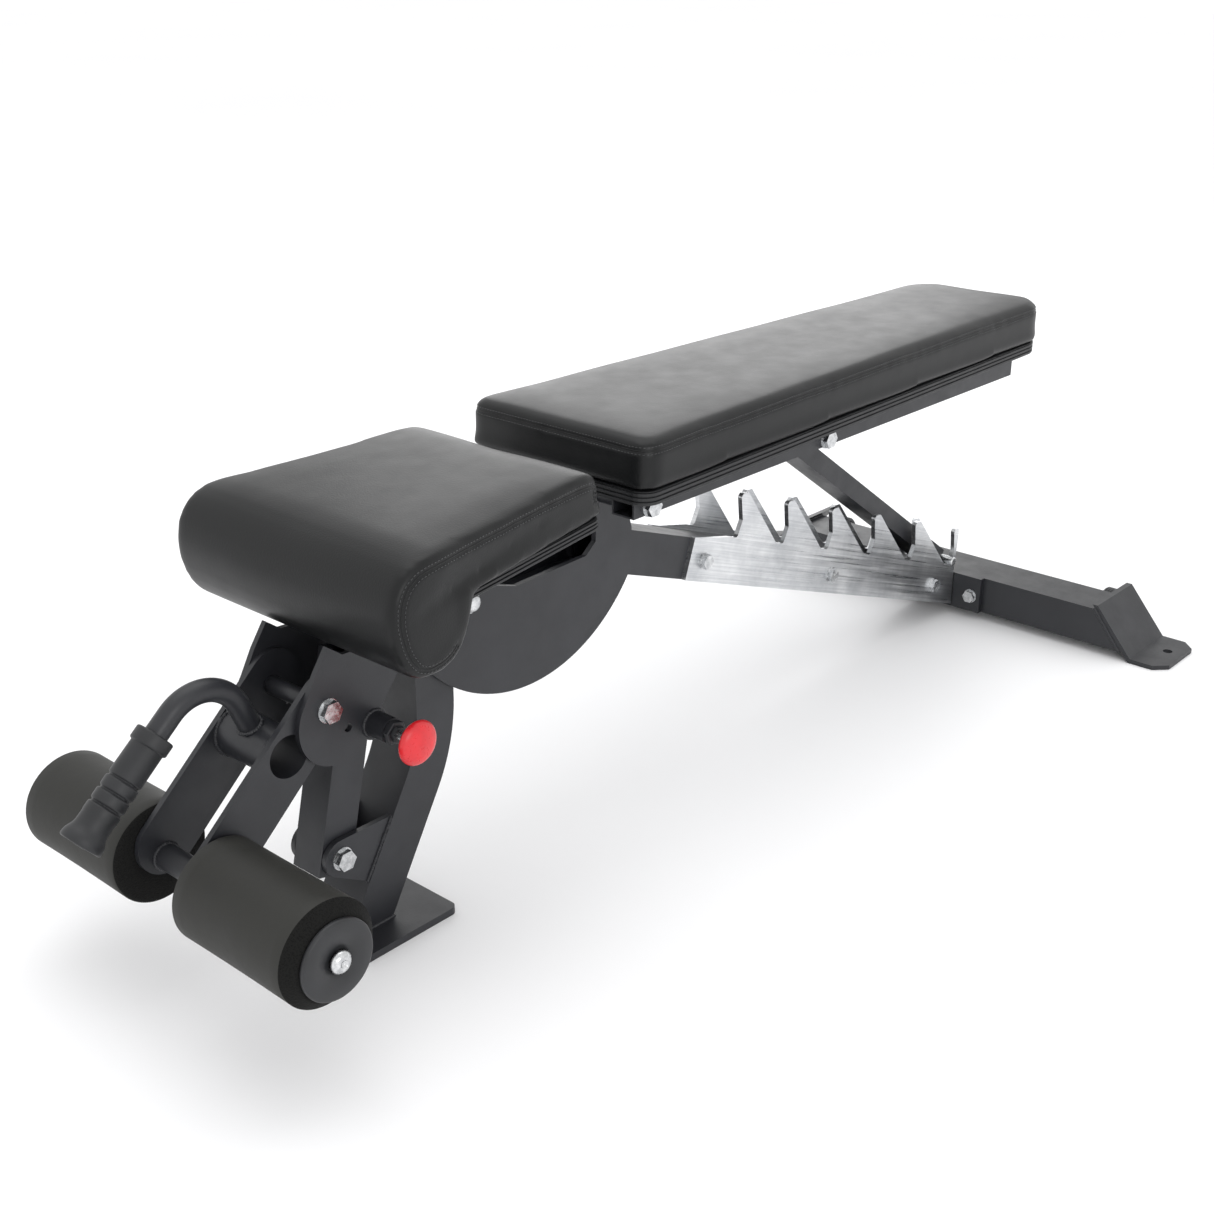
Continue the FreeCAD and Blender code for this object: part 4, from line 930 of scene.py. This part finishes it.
class BENCH_OT_pull_knob(bpy.types.Operator):
    """Red mushroom knob on the pull pin, and the locking nut on its housing"""

    bl_idname = "bench.pull_knob"
    bl_label = "Pull knob"

    def execute(self, context):
        low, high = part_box("pull_knob")
        centre = ((low.x + high.x) / 2, high.y, (low.z + high.z) / 2)
        reach, deep = (high.z - low.z) / 2, high.y - low.y
        knob = to_object("mushroom_knob", lathe(
            [(0.0002, 0.0065), (0.0, 0.0085), (0.0012, 0.0096), (0.0035, 0.0108),
             (0.0065, 0.0140), (0.0090, 0.0178), (0.0110, reach - 0.0016), (0.0128, reach),
             (0.0148, reach - 0.0002), (0.0168, reach - 0.0014), (0.0188, reach * 0.84),
             (0.0205, reach * 0.66), (0.0219, reach * 0.40), (deep, 0.002)],
            centre, (0, -1, 0), 72), "red_plastic")
        modify(knob, "SUBSURF", levels=1, render_levels=1)
        fit(knob, "plunger", "red_plastic", "pull_knob")

        low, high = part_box("pin_housing")
        where = ((low.x + high.x) / 2, low.y, (low.z + high.z) / 2)
        nut = to_object("housing_nut", lathe_hollow(
            [(0.0, 0.0056), (0.0, 0.0118), (0.0006, 0.0124), (0.0062, 0.0124),
             (0.007, 0.0116), (0.007, 0.0085), (0.0085, 0.0082), (0.0105, 0.0078),
             (0.0105, 0.0056)], where, (0, -1, 0), 6), "black_paint", smooth=False)
        fit(nut, "seat", "black_paint")
        return {"FINISHED"}


class BENCH_OT_transport_wheels(bpy.types.Operator):
    """Plastic transport wheels with a ribbed tread and a dished hub"""

    bl_idname = "bench.transport_wheels"
    bl_label = "Transport wheels"

    def execute(self, context):
        for side, body in (("l", "wheel_left"), ("r", "wheel_right")):
            low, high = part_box("wheel_" + side)
            centre = (low + high) / 2
            half, reach = (high.y - low.y) / 2, (high.z - low.z) / 2
            profile = [(-half, 0.0041), (-half, 0.0085), (-half + 0.003, 0.0095),
                       (-half + 0.003, reach - 0.006), (-half + 0.0005, reach - 0.0045),
                       (-half + 0.0008, reach - 0.0018), (-half + 0.0032, reach)]
            for i in range(4):
                at = -half + 0.005 + i * (2 * half - 0.010) / 3
                profile += [(at - 0.0006, reach), (at, reach - 0.0007), (at + 0.0006, reach)]
            profile += [(half - 0.0032, reach), (half - 0.0008, reach - 0.0018),
                        (half - 0.0005, reach - 0.0045), (half - 0.003, reach - 0.006),
                        (half - 0.003, 0.0095), (half, 0.0085), (half, 0.0041)]
            wheel = to_object("transport_wheel_" + side,
                              lathe_hollow(profile, centre, (0, 1, 0), 72), "black_plastic",
                              smooth=False)
            fit(wheel, body, "black_plastic", "wheel_" + side)
        return {"FINISHED"}


def ring_path(centre, radius, axis, start=0.0, end=360.0, steps=48):
    axis = Vector(axis).normalized()
    side = Vector((0, 0, 1)) if abs(axis.z) < 0.9 else Vector((1, 0, 0))
    side = (side - axis * side.dot(axis)).normalized()
    other = axis.cross(side)
    return [Vector(centre) + radius * (side * math.cos(math.radians(a))
                                       + other * math.sin(math.radians(a)))
            for a in (start + (end - start) * i / steps for i in range(steps + 1))]


class BENCH_OT_hanger_sleeve(bpy.types.Operator):
    """Painted spacer tube round the hanger bolt, between the roller arms"""

    bl_idname = "bench.hanger_sleeve"
    bl_label = "Hanger sleeve"

    def execute(self, context):
        low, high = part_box("hanger_bolt")
        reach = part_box("roller_arm_l")[0].y - 0.0002
        sleeve = to_object("hanger_sleeve", lathe_hollow(
            [(-reach, 0.0063), (-reach, 0.0084), (-reach + 0.0006, 0.009),
             (reach - 0.0006, 0.009), (reach, 0.0084), (reach, 0.0063)],
            ((low.x + high.x) / 2, 0, (low.z + high.z) / 2), (0, 1, 0), 48), "black_paint")
        fit(sleeve, "seat", "black_paint")
        return {"FINISHED"}


class BENCH_OT_weld_beads(bpy.types.Operator):
    """Rows of weld beads where the tubes and plates of the frame meet"""

    bl_idname = "bench.weld_beads"
    bl_label = "Weld beads"

    def execute(self, context):
        width = settings().weld_width
        tree = repeat_tree("weld_beads", "bead")
        frame_paths, seat_paths = [], []
        leg_low, leg_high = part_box("front_leg")
        half = leg_high.y
        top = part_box("front_foot_plate")[1].z
        # half the leaning leg's footprint on the plate
        reach = 0.0289
        foot_x = leg_low.x + reach
        frame_paths.append([(foot_x - reach, -half, top), (foot_x + reach, -half, top),
                            (foot_x + reach, half, top), (foot_x - reach, half, top),
                            (foot_x - reach, -half, top)])
        for side in ("l", "r"):
            low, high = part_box("leg_ear_" + side)
            outer = high.y if side == "l" else low.y
            frame_paths.append([(high.x, outer, high.z - 0.001),
                                (high.x - (high.z - low.z) * 0.577, outer, low.z + 0.001)])
        bar_low, bar_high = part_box("rear_crossbar")
        # the sloping cut where the crossbar meets its end plate
        over, under = 0.2540, 0.2945
        for sign in (-1, 1):
            frame_paths.append([(bar_low.x, sign * under, bar_low.z + 0.002),
                                (bar_low.x, sign * over, bar_high.z),
                                (bar_high.x, sign * over, bar_high.z),
                                (bar_high.x, sign * under, bar_low.z + 0.002)])
        flange_low, flange_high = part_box("beam_end_flange")
        beam = 0.030  # half the beam's width
        for sign in (-1, 1):
            frame_paths.append([(flange_low.x, sign * beam, flange_low.z + 0.004),
                                (flange_low.x, sign * beam, flange_high.z - 0.003)])
        tie_low, tie_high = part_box("tie_tube")
        tie = (tie_low + tie_high) / 2
        radius = (tie_high.z - tie_low.z) / 2
        for sign in (-1, 1):
            seat_paths.append(ring_path((tie.x, sign * (tie_high.y - 0.0062), tie.z), radius,
                                        (0, 1, 0)))
        axle_low, axle_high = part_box("roller_axle")
        axle = (axle_low + axle_high) / 2
        for sign in (-1, 1):
            seat_paths.append(ring_path((axle.x, sign * (tie_high.y - 0.0062), axle.z),
                                        (axle_high.z - axle_low.z) / 2, (0, 1, 0)))
        # the way the pull handle leaves the tie tube
        crest = Vector((-0.396, 0, 0.918))
        seat_paths.append(ring_path(Vector((tie.x, 0, tie.z)) + crest * radius, 0.0112, crest))
        housing_low, housing_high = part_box("pin_housing")
        housing = (housing_low + housing_high) / 2
        seat_paths.append(ring_path((housing.x, housing_high.y, housing.z),
                                    (housing_high.z - housing_low.z) / 2, (0, 1, 0)))
        for name, paths, body in (("frame_welds", frame_paths, "frame"),
                                  ("seat_welds", seat_paths, "seat")):
            beads = repeat_along(name, paths, tree, "black_paint", Spacing=width * 0.42,
                                 Length=width * 0.9, Width=width, Height=width * 0.8)
            fit(beads, body, "black_paint")
        return {"FINISHED"}


class BENCH_OT_frame_finish(bpy.types.Operator):
    """Finishes on every part of the steel frame that keeps its own shape"""

    bl_idname = "bench.frame_finish"
    bl_label = "Frame finishes"

    def execute(self, context):
        slots = {part["node"]: part["material_slot"] for part in frame["record"]["subparts"]}
        for name, node in frame["nodes"].items():
            node.data.materials.clear()
            node.data.materials.append(finish(slots[name]))
        return {"FINISHED"}


class BENCH_OT_studio(bpy.types.Operator):
    """Pale floor, soft studio light and the camera"""

    bl_idname = "bench.studio"
    bl_label = "Studio"

    def execute(self, context):
        scene = context.scene
        bpy.ops.mesh.primitive_plane_add(size=40, location=(0, 0, -0.0005))
        floor = context.object
        floor.name = "studio_floor"
        paper, tree, body = start_material("Studio paper", Roughness=0.9, Specular_IOR_Level=0.1)
        tree.links.new(mix_colours(tree, noise_field(tree, place(tree), 2.0, 2), linear("f7f7f8"),
                                   linear("fbfbfc")), body.inputs["Base Color"])
        floor.data.materials.append(paper)

        world = bpy.data.worlds.new("Studio")
        scene.world = world
        world.use_nodes = True
        back = world.node_tree.nodes["Background"]
        back.inputs["Color"].default_value = (1, 1, 1, 1)
        back.inputs["Strength"].default_value = 1.06

        def soft_box(name, spot, target, size, watts):
            lamp = bpy.data.lights.new(name, "AREA")
            lamp.shape = "RECTANGLE"
            lamp.size, lamp.size_y = size
            lamp.energy = watts
            holder = bpy.data.objects.new(name, lamp)
            scene.collection.objects.link(holder)
            holder.location = spot
            gaze = Vector(target) - Vector(spot)
            holder.rotation_euler = gaze.to_track_quat("-Z", "Y").to_euler()

        soft_box("overhead", (0.2, 0.3, 2.8), (0, 0, 0.3), (2.6, 2.2), 22)
        soft_box("window", (2.7, 2.3, 1.25), (0.2, 0, 0.42), (2.2, 1.3), 18)
        soft_box("side", (-1.2, -2.6, 1.2), (-0.2, 0, 0.3), (1.4, 1.0), 12)

        lens = bpy.data.cameras.new("Camera")
        lens.lens, lens.sensor_width = 47.5, 36
        lens.clip_end = 200
        eye = bpy.data.objects.new("Camera", lens)
        scene.collection.objects.link(eye)
        eye.location = (-1.3394, -1.1125, 0.9307)
        gaze = Vector((0.68857, 0.61301, -0.38740))
        eye.rotation_euler = gaze.to_track_quat("-Z", "Y").to_euler()
        scene.camera = eye
        scene.view_settings.view_transform = "Standard"
        return {"FINISHED"}


class BENCH_PT_panel(bpy.types.Panel):
    """Weight bench settings and pieces"""

    bl_label = "Weight bench"
    bl_idname = "BENCH_PT_panel"
    bl_space_type = "VIEW_3D"
    bl_region_type = "UI"
    bl_category = "Bench"

    def draw(self, context):
        values = context.scene.bench
        for name in values.__annotations__:
            self.layout.prop(values, name)
        for piece in PIECES:
            self.layout.operator(piece.bl_idname)


PIECES = (BENCH_OT_studio, BENCH_OT_frame_finish, BENCH_OT_seat_cushion,
          BENCH_OT_back_cushion, BENCH_OT_board_trims, BENCH_OT_rollers, BENCH_OT_hand_grip,
          BENCH_OT_pull_knob, BENCH_OT_transport_wheels, BENCH_OT_hanger_sleeve,
          BENCH_OT_weld_beads)
CLASSES = (BenchSettings,) + PIECES + (BENCH_PT_panel,)


def register():
    for each in CLASSES:
        bpy.utils.register_class(each)
    bpy.types.Scene.bench = bpy.props.PointerProperty(type=BenchSettings)


def unregister():
    del bpy.types.Scene.bench
    for each in reversed(CLASSES):
        bpy.utils.unregister_class(each)


def main():
    register()
    for piece in PIECES:
        group, name = piece.bl_idname.split(".")
        getattr(getattr(bpy.ops, group), name)()


if __name__ == "__main__":
    main()
